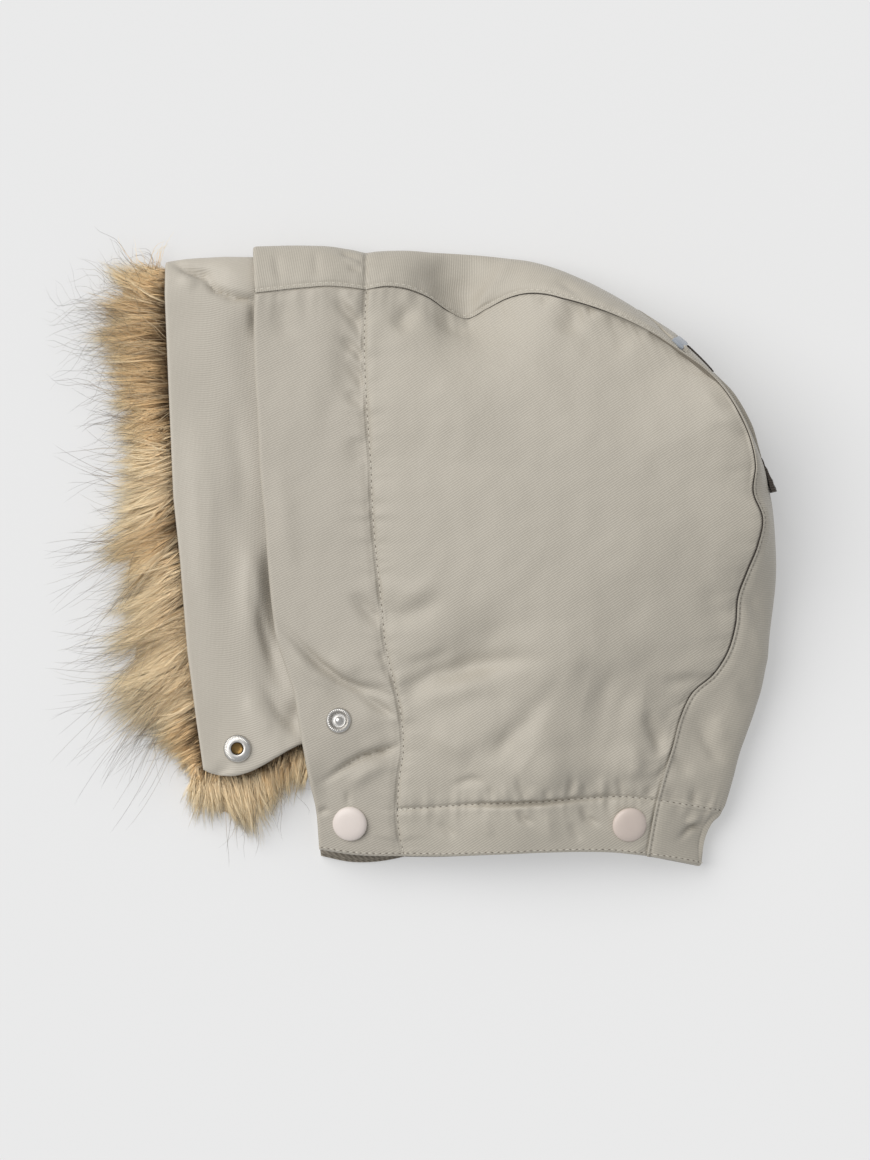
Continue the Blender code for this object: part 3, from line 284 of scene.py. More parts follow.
def crownGrid():
    cut = hoodCut
    readings = stationsOf(cut["crown"], cut["crownBreaks"], [acrossBrim, alongCrown, downBack, overHem])
    start, half, last = math.radians(cut["shoulder"]), cut["around"] // 2, len(readings) - 1
    grid = []
    for i, row in enumerate(readings):
        before, after = readings[max(i - 1, 0)], readings[min(i + 1, last)]
        run = Vector((after[3] - before[3], after[4] - before[4])).normalized()
        inward = Vector((run.y, -run.x))
        if i in (0, last):
            inward = (Vector(row[:2]) - Vector(row[3:5])).normalized()
        seam, edge = Vector(row[:3]), Vector((row[3], row[4], row[2] * cut["edgeHeight"]))
        under = edge.xy + inward * math.hypot((seam.xy - edge.xy).length, cut["underInset"])
        section = []
        for k in range(cut["around"] + 1):
            if k <= half:
                angle = start + (math.pi / 2 - start) * k / half
                spread = (1 - math.sin(angle)) / (1 - math.sin(start))
                flat = edge.xy + (seam.xy - edge.xy) * spread
                height = edge.z + (seam.z - edge.z) * math.cos(angle) / math.cos(start)
            else:
                angle = math.pi / 2 * (k - half) / half
                flat = edge.xy + (under - edge.xy) * (1 - math.cos(angle))
                height = edge.z * (1 - math.sin(angle))
            section.append(Vector((flat.x, flat.y, height)))
        grid.append(section)
    return grid


def crownEdges(seam):
    # where a crown seam meets the brim, the top of the side panel and its back
    turn = acrossBrim + alongCrown
    return {"brimTop": seam[: acrossBrim + 1], "sideTop": seam[acrossBrim: turn + 1], "sideBack": seam[turn:]}


def edgesOf(crown):
    cut, counts, down = hoodCut, [downBack, overHem], downBack + overHem
    edges = crownEdges([section[0] for section in crown])
    edges["brimSeam"] = curveOf([tuple(edges["sideTop"][0])] + cut["brimSeam"], cut["brimBreaks"], counts)
    edges["front"] = curveOf([tuple(edges["brimTop"][0])] + cut["front"], cut["frontBreaks"], counts)
    for name, row in (("stitch", downBack), ("neck", down)):
        edges[name] = curveBetween(edges["brimSeam"][row], cut[name], edges["sideBack"][row], alongCrown)
    start, end = edges["front"][down], edges["brimSeam"][down]
    edges["brimNeck"] = curveBetween(start, cut["brimNeck"], end, acrossBrim)
    return edges


def underEdgesOf(edges, crown):
    # the same edges laid on the floor, with their ends drawn to the crown's turned-under seam
    low = {name: [Vector((p.x, p.y, 0.0)) for p in row] for name, row in edges.items()}
    low.update(crownEdges([section[-1] for section in crown]))
    down = downBack + overHem
    shifts = (("brimSeam", low["sideTop"][0], 0), ("front", low["brimTop"][0], 0),
              ("stitch", low["sideBack"][downBack], -1), ("neck", low["sideBack"][down], -1))
    for name, corner, end in shifts:
        row = low[name]
        shift = corner - row[end]
        for i, point in enumerate(row):
            share = i / (len(row) - 1)
            row[i] = point + shift * (share if end else 1 - share) ** 3
    for up, share in enumerate(hoodCut["footShares"]):
        low["front"][down - up] += Vector((*hoodCut["footShift"], 0.0)) * share
    start, end = low["front"][down], low["brimSeam"][down]
    low["brimNeck"] = curveBetween(start, hoodCut["brimNeckUnder"], end, acrossBrim)
    return low


def sideGrid(edges):
    left, right = edges["brimSeam"], edges["sideBack"]
    field = patchBetween(left[: downBack + 1], right[: downBack + 1], edges["sideTop"], edges["stitch"])
    hem = patchBetween(left[downBack:], right[downBack:], edges["stitch"], edges["neck"])
    return evenedOut(field) + hem[1:]


def brimGrid(edges):
    return patchBetween(edges["front"], edges["brimSeam"], edges["brimTop"], edges["brimNeck"])


def placesOf(count, per, closer=()):
    # parameters along a patch, closer together at its ends and at the rows in closer
    near = [share / per for share in (0.12, 0.3, 0.5, 0.75, 1.25, 1.6)]
    places = {round(k / per, 5) for k in range(count * per + 1)}
    places.update(round(k, 5) for k in near)
    places.update(round(count - k, 5) for k in near)
    for row in closer:
        places.update(round(row + k, 5) for share in near for k in (share, -share))
    return sorted(places)


def through(points, places):
    last = len(points) - 1
    line = []
    for place in places:
        i = min(int(place), last - 1)
        t = place - i
        p, q = points[i], points[i + 1]
        before = points[i - 1] if i > 0 else p * 2 - q
        after = points[i + 2] if i + 2 <= last else q * 2 - p
        line.append(0.5 * (2 * p + (q - before) * t + (2 * before - 5 * p + 4 * q - after) * t * t
                           + (3 * p - before - 3 * q + after) * t * t * t))
    return line


def normalsOf(grid, outward):
    rows, columns = len(grid), len(grid[0])
    normals = []
    for i in range(rows):
        line = []
        for j in range(columns):
            down = grid[min(i + 1, rows - 1)][j] - grid[max(i - 1, 0)][j]
            across = grid[i][min(j + 1, columns - 1)] - grid[i][max(j - 1, 0)]
            line.append((down.cross(across) * outward).normalized())
        normals.append(line)
    return normals


def runsOf(grid):
    across, down = [], [[0.0] * len(grid[0])]
    for line in grid:
        run = [0.0]
        for one, two in zip(line, line[1:]):
            run.append(run[-1] + (two - one).length)
        across.append(run)
    for one, two in zip(grid, grid[1:]):
        down.append([run + (q - p).length for run, p, q in zip(down[-1], one, two)])
    return across, down


def seamHeight(pairs, distance):
    for (near, low), (far, high) in zip(pairs, pairs[1:]):
        if distance < far:
            return low + (high - low) * smoothStep((distance - near) / (far - near))
    return 0.0


clothFeel = {   # how the hood's cloth lies over its smooth form, in mm
    "seamReach": 34, "seamHold": 2.4, "bigPucker": 40, "finePucker": (2.3, 16, 0.6), "drift": (21, 1.6),
    "billow": 26, "ripple": (8, 0.3), "edge": 1.7, "pinch": 0.45, "lining": 0.4, "lap": (5, 0.15),
}


def clothRelief(cloth, point, away, runs):
    # height of the cloth over its smooth form: seams, puckers, creases and soft unevenness
    feel = clothFeel
    closer, reach, strength = feel["finePucker"]
    sewn, free, hold = 0.0, 0.0, 1.0
    for number, (side, kind) in enumerate(cloth["seams"].items()):
        distance, seam = away[side], seams[kind]
        if distance > feel["seamReach"]:
            continue
        sewn += seamHeight(seam["shape"], distance)
        run = (runs[1] if side in ("left", "right") else runs[0]) / seam["pitch"]
        wave = noise.noise(Vector((run, 7.3 * number, distance / feel["bigPucker"])))
        wave += strength * noise.noise(Vector((run * closer, 3.1 * number, distance / reach)))
        free += seam["pucker"] * wave * math.exp(-distance / seam["reach"])
        hold *= seam["slack"] + (1 - seam["slack"]) * smoothStep(distance / feel["seamHold"])
    drift = noise.noise_vector(Vector((point.x, point.y, 5.0)) / feel["drift"][0]) * feel["drift"][1]
    free += cloth["crisp"] * creaseAt(point + Vector((drift.x, drift.y, 0.0)), cloth["creases"])
    free += cloth["loose"] * noise.noise(point / feel["billow"] + Vector((3.0, 1.0, 0.0)))
    free += cloth["loose"] * feel["ripple"][1] * noise.noise(point / feel["ripple"][0])
    return sewn, free * hold


def shapeCloth(cloth, coarse, outward=1):
    # fine cloth from a coarse grid: its outer face, its inner face and the lengths along it
    feel, inside = clothFeel, cloth.get("inside", ())
    columnPlaces = placesOf(len(coarse[0]) - 1, cloth["detail"][1])
    rowPlaces = placesOf(len(coarse) - 1, cloth["detail"][0], inside)
    wide = [through(row, columnPlaces) for row in coarse]
    columns = [through([row[j] for row in wide], rowPlaces) for j in range(len(columnPlaces))]
    grid = [list(row) for row in zip(*columns)]
    normals = normalsOf(grid, outward)
    across, down = runsOf(grid)
    insideRows = {row: rowPlaces.index(round(row, 5)) for row in inside}
    shaped, lined = [], []
    for i, row in enumerate(grid):
        line, inner = [], []
        for j, point in enumerate(row):
            away = {"top": down[i][j], "bottom": down[-1][j] - down[i][j],
                    "left": across[i][j], "right": across[i][-1] - across[i][j]}
            for name, k in insideRows.items():
                away[name] = abs(down[i][j] - down[k][j])
            normal = normals[i][j]
            sewn, height = clothRelief(cloth, point, away, (across[i][j], down[i][j]))
            shift = Vector((0, 0, sewn))
            if cloth.get("restsFlat"):   # no folds where the sheet turns under and is lain on
                height *= smoothStep((normal.z + 0.1) / 0.5)
                shift = normal * (sewn * smoothStep((normal.z + 0.35) / 0.5))
            turn = turnedEdge(min([away[side] for side in cloth["edges"]] + [feel["edge"]]), feel["edge"])
            wall = cloth["wall"] * (1 - feel["pinch"] * turn)
            if "lap" in cloth:
                reach, least = feel["lap"]
                wall *= least + (1 - least) * smoothStep(away["left"] / reach)
            sunk = shift * (1 if sewn < 0 else 0)
            inner.append(point + sunk + normal * (min(height, feel["lining"]) - wall))
            if away["left"] == 0 and "lap" in cloth:
                shift = shift + (row[0] - row[3]).normalized() * cloth["lap"]
            line.append(point + normal * (height - turn * cloth["wall"] * feel["pinch"]) + shift)
        shaped.append(line)
        lined.append(inner)
    return {"grid": shaped, "inner": lined, "normals": normalsOf(shaped, outward), "across": across,
            "down": down, "outward": outward, "rows": rowPlaces, "columns": columnPlaces}


def clothPiece(name, shape, finishes, nodes, flatMap=False):
    # a grid laid on the cloth's points; Solidify adds the wall, whose inner side is then laid too
    grid = shape["grid"]
    rows, columns = len(grid) - 1, len(grid[0]) - 1
    bpy.ops.object.select_all(action="DESELECT")
    bpy.ops.mesh.primitive_grid_add(x_subdivisions=columns, y_subdivisions=rows, size=1, calc_uvs=True)
    piece = bpy.context.object
    piece.name = piece.data.name = name
    order = range(rows, -1, -1) if shape["outward"] > 0 else range(rows + 1)
    outer, inner, pattern = [], [], []
    for i in order:
        for j in range(columns + 1):
            point = placed(grid[i][j])
            outer.extend(point)
            inner.extend(placed(shape["inner"][i][j]))
            pattern.append(point.xy if flatMap else (shape["across"][i][j] * mm, -shape["down"][i][j] * mm))
    piece.data.vertices.foreach_set("co", outer)
    layer = piece.data.uv_layers[0]
    for loop in piece.data.loops:
        layer.data[loop.index].uv = pattern[loop.vertex_index]
    for finish in finishes:   # outside, inside
        piece.data.materials.append(looks[finish])
    thicken = piece.modifiers.new("wall", "SOLIDIFY")
    thicken.thickness, thicken.offset = mm, -1.0   # the inner points are laid anew below
    thicken.material_offset, thicken.material_offset_rim = 1, 0
    bpy.ops.object.modifier_apply(modifier=thicken.name)
    piece.data.vertices.foreach_set("co", outer + inner)
    bpy.ops.object.shade_smooth_by_angle(angle=math.radians(60))
    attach(piece, "root")
    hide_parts(*nodes)
    print("made", name, len(piece.data.polygons))
    return piece


# Shader sums written as Python sums
class Wire:
    def __init__(self, paint, socket):
        self.paint, self.socket = paint, socket

    def sum(self, operation, one, two):
        return self.paint.node("ShaderNodeMath", {"operation": operation}, {0: one, 1: two})

    def __add__(self, other):
        return self.sum("ADD", self, other)

    def __sub__(self, other):
        return self.sum("SUBTRACT", self, other)

    def __rsub__(self, other):
        return self.sum("SUBTRACT", other, self)

    def __mul__(self, other):
        return self.sum("MULTIPLY", self, other)

    def sine(self):
        return self.sum("SINE", self * (2 * math.pi), 0.0) * 0.5 + 0.5


class Paint:
    def __init__(self, name):
        self.material = bpy.data.materials.new(name)
        self.material.use_nodes = True
        self.tree = self.material.node_tree
        self.shader = self.tree.nodes["Principled BSDF"]
        self.flat = self.node("ShaderNodeTexCoord", None, None, 2)
        self.body = self.node("ShaderNodeTexCoord", None, None, 3)

    def node(self, kind, settings=None, inputs=None, output=0):
        node = self.tree.nodes.new(kind)
        for key, value in (settings or {}).items():
            if key == "stops":
                ramp = node.color_ramp
                while len(ramp.elements) < len(value):
                    ramp.elements.new(0.5)
                for element, (place, color) in zip(ramp.elements, value):
                    element.position, element.color = place, (*color, 1.0)
            else:
                setattr(node, key, value)
        for key, value in (inputs or {}).items():
            self.plug(node.inputs[key], value)
        return Wire(self, node.outputs[output])

    def plug(self, socket, value):
        if isinstance(value, Wire):
            self.tree.links.new(value.socket, socket)
        elif socket.type == "RGBA" and len(value) == 3:
            socket.default_value = (*value, 1.0)
        else:
            socket.default_value = value

    def parts(self, vector):
        # the first two parts of a vector
        split = self.tree.nodes.new("ShaderNodeSeparateXYZ")
        self.plug(split.inputs[0], vector)
        return Wire(self, split.outputs[0]), Wire(self, split.outputs[1])

    def blend(self, share, one, two):
        return self.node("ShaderNodeMix", {"data_type": "RGBA"}, {0: share, 6: one, 7: two}, 2)

    def noise(self, place, scale, detail=3.0, rough=0.55):
        return self.node("ShaderNodeTexNoise", None,
                         {"Vector": place, "Scale": scale, "Detail": detail, "Roughness": rough})

    def bump(self, height, strength, distance, under=None):
        inputs = {"Strength": strength, "Distance": distance, "Height": height}
        if under:
            inputs["Normal"] = under
        return self.node("ShaderNodeBump", None, inputs)

    def finish(self, **values):
        for key, value in values.items():
            self.plug(self.shader.inputs[key.replace("_", " ")], value)
        return self.material


def twill(name, look):
    # woven cloth: fine slanting ribs, slubs and a soft mottle
    paint = Paint(name)
    across, up = paint.parts(paint.flat)
    slant = math.radians(look["angle"])
    wobble = paint.noise(paint.flat, 160.0, 2.0) * look["wobble"]
    rib = across * (math.sin(slant) / look["pitch"]) - up * (math.cos(slant) / look["pitch"]) + wobble
    thread = across * (math.cos(slant) / look["pitch"]) + up * (math.sin(slant) / look["pitch"])
    ribs, threads = rib.sine(), (thread * 0.55).sine()
    weave = ribs * 0.75 + threads * ribs * 0.25
    mottle, cloud = paint.noise(paint.body, 38.0, 3.0), paint.noise(paint.body, 9.0, 2.0)
    slub = paint.noise(paint.flat, 900.0, 2.0)
    share = weave * look["ribShare"] + mottle * 0.2 + cloud * 0.34 + slub * 0.16
    color = paint.blend(share, look["low"], look["high"])
    fine = paint.bump(weave + slub * 0.5, look["bump"], 0.0002)
    normal = paint.bump(paint.noise(paint.body, look["crumpleScale"], 3.0), look["crumple"], 0.0012, fine)
    return paint.finish(Base_Color=color, Roughness=mottle * 0.12 + (look["rough"] - 0.06), Normal=normal,
                        Sheen_Weight=look["sheen"], Sheen_Roughness=0.45, Specular_IOR_Level=look["specular"])


def grained(name, low, high, rough, look):
    # a finish of two tones mixed by two sizes of grain; look holds what else it needs
    paint = Paint(name)
    grain = paint.noise(paint.body, look.get("grain", 700.0))
    cloud = paint.noise(paint.body, look.get("cloud", 90.0))
    share, height = cloud * 0.6 + grain * 0.3, grain
    if "ribs" in look:
        direction, scale = look["ribs"]
        ribs = paint.node("ShaderNodeTexWave", {"bands_direction": direction}, {
            "Vector": paint.body if direction == "DIAGONAL" else paint.flat,
            "Scale": scale, "Distortion": 0.8, "Detail": 1.0})
        share, height = ribs * 0.45 + share * 0.6, ribs + grain
    values = {"Base_Color": paint.blend(share, low, high), "Roughness": grain * 0.14 + (rough - 0.07),
              "Normal": paint.bump(height, look.get("bump", 0.2), look.get("depth", 0.0001))}
    values.update(look.get("also", {}))
    return paint.finish(**values)


# dark and light ends of the strands' tone; the slide lengthens the dark root on low-tone strands, which is
# partly the fur's darker base and partly painted shade beside the strip
furTone = {"dark": (0.22, 0.135, 0.062), "light": (1.0, 0.835, 0.57), "darkens": 0.6, "shadedRootSlide": 0.4}


def furFinish(name, stops, spread):
    # the strands' own map holds the strand's tone across, and the way from root to tip up
    paint = Paint(name)
    tone, along = paint.parts(paint.flat)
    # a low tone slides the ramp so that the dark root runs longer: partly the fur's darker base, partly
    # painted shade where the strip shades the roots
    place = along + (tone - 0.5) * furTone["shadedRootSlide"]
    ramp = paint.node("ShaderNodeValToRGB", {"stops": stops}, {0: place})
    low = paint.blend((0.5 - tone) * spread * furTone["darkens"], ramp, furTone["dark"])
    color = paint.blend((tone - 0.5) * spread, low, furTone["light"])
    return paint.finish(Base_Color=color, Roughness=tone * 0.1 + 0.42, Specular_IOR_Level=0.5,
                        Sheen_Weight=0.15)


def underfurFinish():
    # short dense pile, streaked along its own map and darker at the strip's edge: partly its darker base,
    # partly painted shade under the strip
    paint = Paint("underfur")
    stretch = paint.node("ShaderNodeMapping", None, {"Vector": paint.flat, "Scale": (900.0, 60.0, 1.0)})
    hairs = paint.noise(stretch, 1.0, 4.0)
    along = paint.parts(paint.flat)[1] * 24.0
    # dark where the pile runs under the strip: partly its own darker base, partly painted shade
    stops = [(0.0, (0.14, 0.092, 0.050)), (0.30, (0.52, 0.355, 0.185)), (1.0, (0.92, 0.68, 0.40))]
    ramp = paint.node("ShaderNodeValToRGB", {"stops": stops}, {0: along})
    return paint.finish(Base_Color=paint.blend(hairs * 1.1, (0.24, 0.165, 0.09), ramp),
                        Roughness=hairs * 0.1 + 0.7, Normal=paint.bump(hairs, 0.9, 0.001))


shellLook = {
    "angle": 33.0, "pitch": 0.00096, "wobble": 0.35, "ribShare": 0.55, "low": (0.330, 0.303, 0.255),
    "high": (0.515, 0.473, 0.399), "bump": 0.45, "crumple": 0.22, "crumpleScale": 120.0,
    "rough": 0.52, "sheen": 0.10, "specular": 0.42,
}
brimLook = {**shellLook, "angle": 26.0, "low": (0.328, 0.300, 0.254), "high": (0.512, 0.470, 0.398)}
crownLook = {**shellLook, "angle": 7.0, "ribShare": 0.5}
bandLook = {**shellLook, "angle": 8.0, "ribShare": 0.26, "low": (0.400, 0.364, 0.306),
            "high": (0.585, 0.540, 0.462), "crumple": 0.12, "rough": 0.46, "specular": 0.5}
thread, steel = {"bump": 0.4}, {"also": {"Metallic": 1.0}, "cloud": 240.0}
lacquer = {"grain": 420.0, "bump": 0.08, "also": {"Coat_Weight": 0.15, "Coat_Roughness": 0.35}}
# dark at the root: partly the fur's own darker base, partly painted shade next to the strip
pileStopsRootShade = [(0.0, (0.20, 0.122, 0.058)), (0.12, (0.40, 0.252, 0.120)), (0.36, (0.90, 0.618, 0.310)),
             (0.68, (1.0, 0.78, 0.455)), (1.0, (1.0, 0.88, 0.62))]
guardStops = [(0.0, (0.30, 0.21, 0.12)), (0.34, (0.75, 0.56, 0.33)), (0.52, (0.36, 0.25, 0.145)),
              (0.68, (0.09, 0.058, 0.038)), (1.0, (0.03, 0.02, 0.015))]
looks = {
    "shell": twill("shellTwill", shellLook),
    "brim": twill("brimTwill", brimLook),
    "crown": twill("crownTwill", crownLook),
    "band": twill("bandTwill", bandLook),
    "lining": grained("ribbedLining", (0.130, 0.112, 0.088), (0.380, 0.335, 0.270), 0.75,
                      {"ribs": ("DIAGONAL", 260.0), "bump": 0.6, "depth": 0.0004}),
    "paleThread": grained("paleThread", (0.50, 0.47, 0.40), (0.72, 0.68, 0.60), 0.5, thread),
    "duskThread": grained("duskThread", (0.14, 0.115, 0.09), (0.25, 0.21, 0.17), 0.55, thread),
    # near-black for the crown seam's tube: partly thread, partly painted shade of the seam's groove
    "darkThreadAndGrooveShade": grained("darkThreadAndGrooveShade", (0.020, 0.015, 0.012), (0.060, 0.047, 0.038), 0.75, thread),
    # dark marks between the pale stitches: painted shade of the needle holes
    "holeThread": grained("holeThread", (0.10, 0.082, 0.065), (0.22, 0.185, 0.15), 0.6, thread),
    "cap": grained("capLacquer", (0.665, 0.590, 0.545), (0.760, 0.682, 0.632), 0.38, lacquer),
    # a darker copy of the cap lacquer for the back cap: painted shade, since that cap sits on the side turned
    # from the light
    "capPaintedShade": grained("capLacquerPaintedShade", (0.560, 0.474, 0.420), (0.650, 0.556, 0.498), 0.38, lacquer),
    "nickel": grained("nickel", (0.50, 0.485, 0.46), (0.76, 0.74, 0.71), 0.33, steel),
    # the socket's cup: its near-black low tone is painted shade of the socket's hollow, and its bright tone
    # is the brass
    "brassAndHollowShade": grained("brassAndHollowShade", (0.05, 0.03, 0.012), (0.34, 0.21, 0.075), 0.3, steel),
    "loop": grained("loopTape", (0.035, 0.027, 0.022), (0.115, 0.092, 0.078), 0.82,
                    {"grain": 1700.0, "ribs": ("Y", 300.0), "bump": 0.6, "depth": 0.0004}),
    "hook": grained("hookTape", (0.030, 0.024, 0.020), (0.170, 0.140, 0.118), 0.8,
                    {"grain": 1100.0, "ribs": ("Y", 260.0), "bump": 0.9, "depth": 0.0005}),
    "reflective": grained("reflectiveRibbon", (0.30, 0.33, 0.37), (0.44, 0.48, 0.54), 0.36,
                          {"grain": 2400.0, "also": {"Metallic": 0.3}}),
    "pile": furFinish("furPile", pileStopsRootShade, 1.3),
    "guard": furFinish("furGuardHair", guardStops, 1.0),
    "underfur": underfurFinish(),
}
print("finishes made")

# What each seam does to the cloth beside it: its section (distance, height) and its puckers
seams = {
    "underCrown": {"shape": [(0, -0.9), (0.5, -0.75), (1.6, -0.3), (4.5, 0), (6, 0)],
                   "pitch": 8, "pucker": 1.5, "reach": 7, "slack": 0},
    "overSide": {"shape": [(0, 0.1), (0.35, 0.25), (0.8, 0.05), (1.4, -0.25), (2.1, 0.05), (4, 0.2), (8, 0)],
                 "pitch": 9, "pucker": 0.7, "reach": 5, "slack": 0},
    "brim": {"shape": [(0, -1), (0.5, -0.85), (1.5, -0.3), (4, 0.05), (8, 0)],
             "pitch": 6, "pucker": 1.5, "reach": 5.5, "slack": 0},
    "hem": {"shape": [(0, -0.8), (0.5, -0.6), (1.4, -0.1), (3, 0.15), (7, 0)],
            "pitch": 5.5, "pucker": 1.6, "reach": 5, "slack": 0.5},
    "flush": {"shape": [(0, 0), (1, 0)], "pitch": 9, "pucker": 0, "reach": 6, "slack": 0},
}
clothSide = {
    "detail": (9, 9), "wall": 3.2, "crisp": 1.5, "loose": 0.8, "creases": sideCreases,
    "inside": (downBack,), "edges": ("bottom",),
    "seams": {"top": "underCrown", "left": "brim", "right": "underCrown", downBack: "hem"},
}
clothBrim = {
    "detail": (10, 8), "wall": 2.9, "crisp": 1.6, "loose": 0.6, "creases": brimCreases,
    "edges": ("left", "bottom"), "seams": {"top": "underCrown", "right": "brim"},
}
clothCrown = {
    "detail": (8, 6), "wall": 2.9, "crisp": 1.3, "loose": 0.6, "creases": crownCreases,
    "inside": (acrossBrim, hemRow), "edges": ("top", "bottom"), "restsFlat": True, "lap": 0.3,
    "seams": {"left": "overSide", "right": "flush", acrossBrim: "brim", hemRow: "hem"},
}
clothUnder = {"detail": (3, 3), "wall": 3.4, "crisp": 1, "loose": 0, "creases": [], "edges": (), "seams": {}}


def buildHood():
    crown = crownGrid()
    edges = edgesOf(crown)
    side, brim = sideGrid(edges), brimGrid(edges)
    for i in range(1, downBack):
        for j in range(1, alongCrown):
            bulge = math.sin(math.pi * i / downBack) * math.sin(math.pi * j / alongCrown)
            side[i][j].z += hoodCut["dome"] * bulge ** 0.75
    for point in (p for grid in (side, brim) for row in grid[1:-1] for p in row[1:-1]):
        point.z += creaseAt(point, mainFolds, taper=False)
    half = hoodCut["around"] // 2
    for section in crown[1:-1]:
        for k in range(1, half):
            section[k].z += creaseAt(section[k], mainFolds, taper=False) * (1 - k / half) ** 1.5
    low = underEdgesOf(edges, crown)
    shapes, pieces = {}, {}
    for name, nodes, cloth, grid, outward, finish in (
            ("sidePanel", ["side_upper"], clothSide, side, 1, "shell"),
            ("brimPanel", ["brim_upper"], clothBrim, brim, 1, "brim"),
            ("crownPanel", ["crown", "brim_crown"], clothCrown, crown, 1, "crown"),
            ("underSide", ["side_lower"], clothUnder, sideGrid(low), -1, "shell"),
            ("underBrim", ["brim_lower"], clothUnder, brimGrid(low), -1, "brim")):
        shapes[name] = shapeCloth(cloth, grid, outward)
        flat = name != "crownPanel"
        pieces[name] = clothPiece(name, shapes[name], (finish, "lining"), nodes, flat)
    return shapes, pieces, low


hoodShapes, hoodPieces, underEdges = buildHood()

# The cloth strip that carries the fur: y, its free edge x and its hidden edge x
bandCut = {
    "rows": [(-92, -91.6, -39), (-68, -95, -41), (-41, -98.5, -45), (-1, -101.7, -50),
             (25, -104.5, -51), (74, -106.6, -52), (112, -108.2, -52)],
    "wall": 1.8, "top": 19.3, "middle": 9.8, "under": 3.95, "foldCentre": 107, "foldReach": 21.3,
    "foldCorner": 2.2, "endY": -94.6, "endRise": 16, "endCorner": 3, "dropFrom": -71.5, "dropTo": -88,
    "runRows": 70, "foldRows": 40, "columns": 44, "closeRows": [0.004, 0.009, 2.991, 2.996],
    "closeColumns": [0.006, 0.013, 0.985, 0.994], "edge": 1.3, "pinch": 0.8,
    "crisp": 1.9, "loose": 0.5, "highest": 1.2, "drift": (20, 1.4), "billow": 24, "underBrim": (-64, 8),
    "folds": [
        (4.5, -1.6, 0, (-102, 127), (-86, 120)), (7, -1.3, 0, (-72, 96), (-60, -50)),
        (5, -1, 0, (-68, -22), (-56, -64)),
    ],
    "creases": [
        (1.5, -1.3, 0.4, (-106, 127), (-98.9, 123), (-93.3, 120.8), (-88, 120.4)),
        (3, -0.6, 0, (-100, 122.5), (-86.4, 119)),
        (1.7, -1.5, 0.7, (-92, 121), (-89.5, 117), (-86.9, 113.9), (-80.1, 110.6), (-70, 109.4),
         (-60, 109.4)), (6, 0.45, 0, (-90, 126), (-66, 115)), (3, 0.7, 0, (-101, 121), (-94, 116)),
        (2.4, -1, 0, (-70.5, 111), (-70, 103), (-70, 95)),
        (3.2, -2.2, 0.3, (-63.5, 4), (-62.5, -12), (-61, -28), (-58.5, -44)),
        (4, 0.9, 0, (-72, 4), (-70.5, -15), (-71, -32)), (2, -1, 0.4, (-68, -22), (-65, -34), (-61, -48)),
        (2.4, -1.1, 0.3, (-67, -54), (-58, -68), (-51, -76)), (3.4, 0.9, 0, (-73, -60), (-62, -77)),
        (4, -1.6, 0, (-54, -62), (-50, -76)), (3.6, -1.4, 0, (-66, 104), (-65.5, 92)),
        (7, 0.7, 0, (-94, 60), (-88, -40)), (5, -0.6, 0, (-78, 70), (-74, 10)),
        (1.6, -0.6, 0, (-88, -94), (-78, -89)),
    ],
}


def bandEdges(y):
    return rowAt(bandCut["rows"], y)[1:]


def bandEnd(across):
    cut = bandCut
    rise = cut["endRise"] * smoothStep((across - 0.2) / 0.8)
    return cut["endY"] + rise + cut["endCorner"] * (1 - across) ** 12


def bandUnder(x):
    drop = (x - bandCut["dropTo"]) / (bandCut["dropFrom"] - bandCut["dropTo"])
    return bandCut["under"] * smoothStep(drop)


def bandPoint(across, path):
    # path 0 to 1 is the upper run, 1 to 2 the fold over the crown, 2 to 3 the lower run
    cut = bandCut
    angle = 0.0 if path <= 1 else math.pi * min(1.0, path - 1)
    end = bandEnd(across)
    if 1 < path < 2:
        reach = cut["foldReach"] - cut["foldCorner"] * (1 - across) ** 6
        y = cut["foldCentre"] + reach * math.sin(angle)
    else:
        y = end + (cut["foldCentre"] - end) * (path if path <= 1 else 3 - path)
    free, hidden = bandEdges(y)
    x = free + (hidden - free) * across
    top = cut["top"] + creaseAt(Vector((x, y, 0)), cut["folds"], taper=False)
    half = top - cut["middle"] if angle < math.pi / 2 else cut["middle"] - bandUnder(x)
    return Vector((x, y, cut["middle"] + half * math.cos(angle)))


def bandRise(point, normal):
    # height of the strip's creases over its smooth form, held down where it lies under the brim
    if normal.z <= -0.2:
        return 0.0
    cut = bandCut
    drift = noise.noise_vector(point / cut["drift"][0]) * cut["drift"][1]
    height = cut["crisp"] * creaseAt(point + Vector((drift.x, drift.y, 0)), cut["creases"])
    height += cut["loose"] * noise.noise(point / cut["billow"] + Vector((9, 2, 0)))
    edge, reach = cut["underBrim"]
    highest = cut["highest"] - cut["highest"] * smoothStep((point.x - edge) / reach)
    return min(height, highest) * smoothStep((normal.z + 0.2) / 0.3)


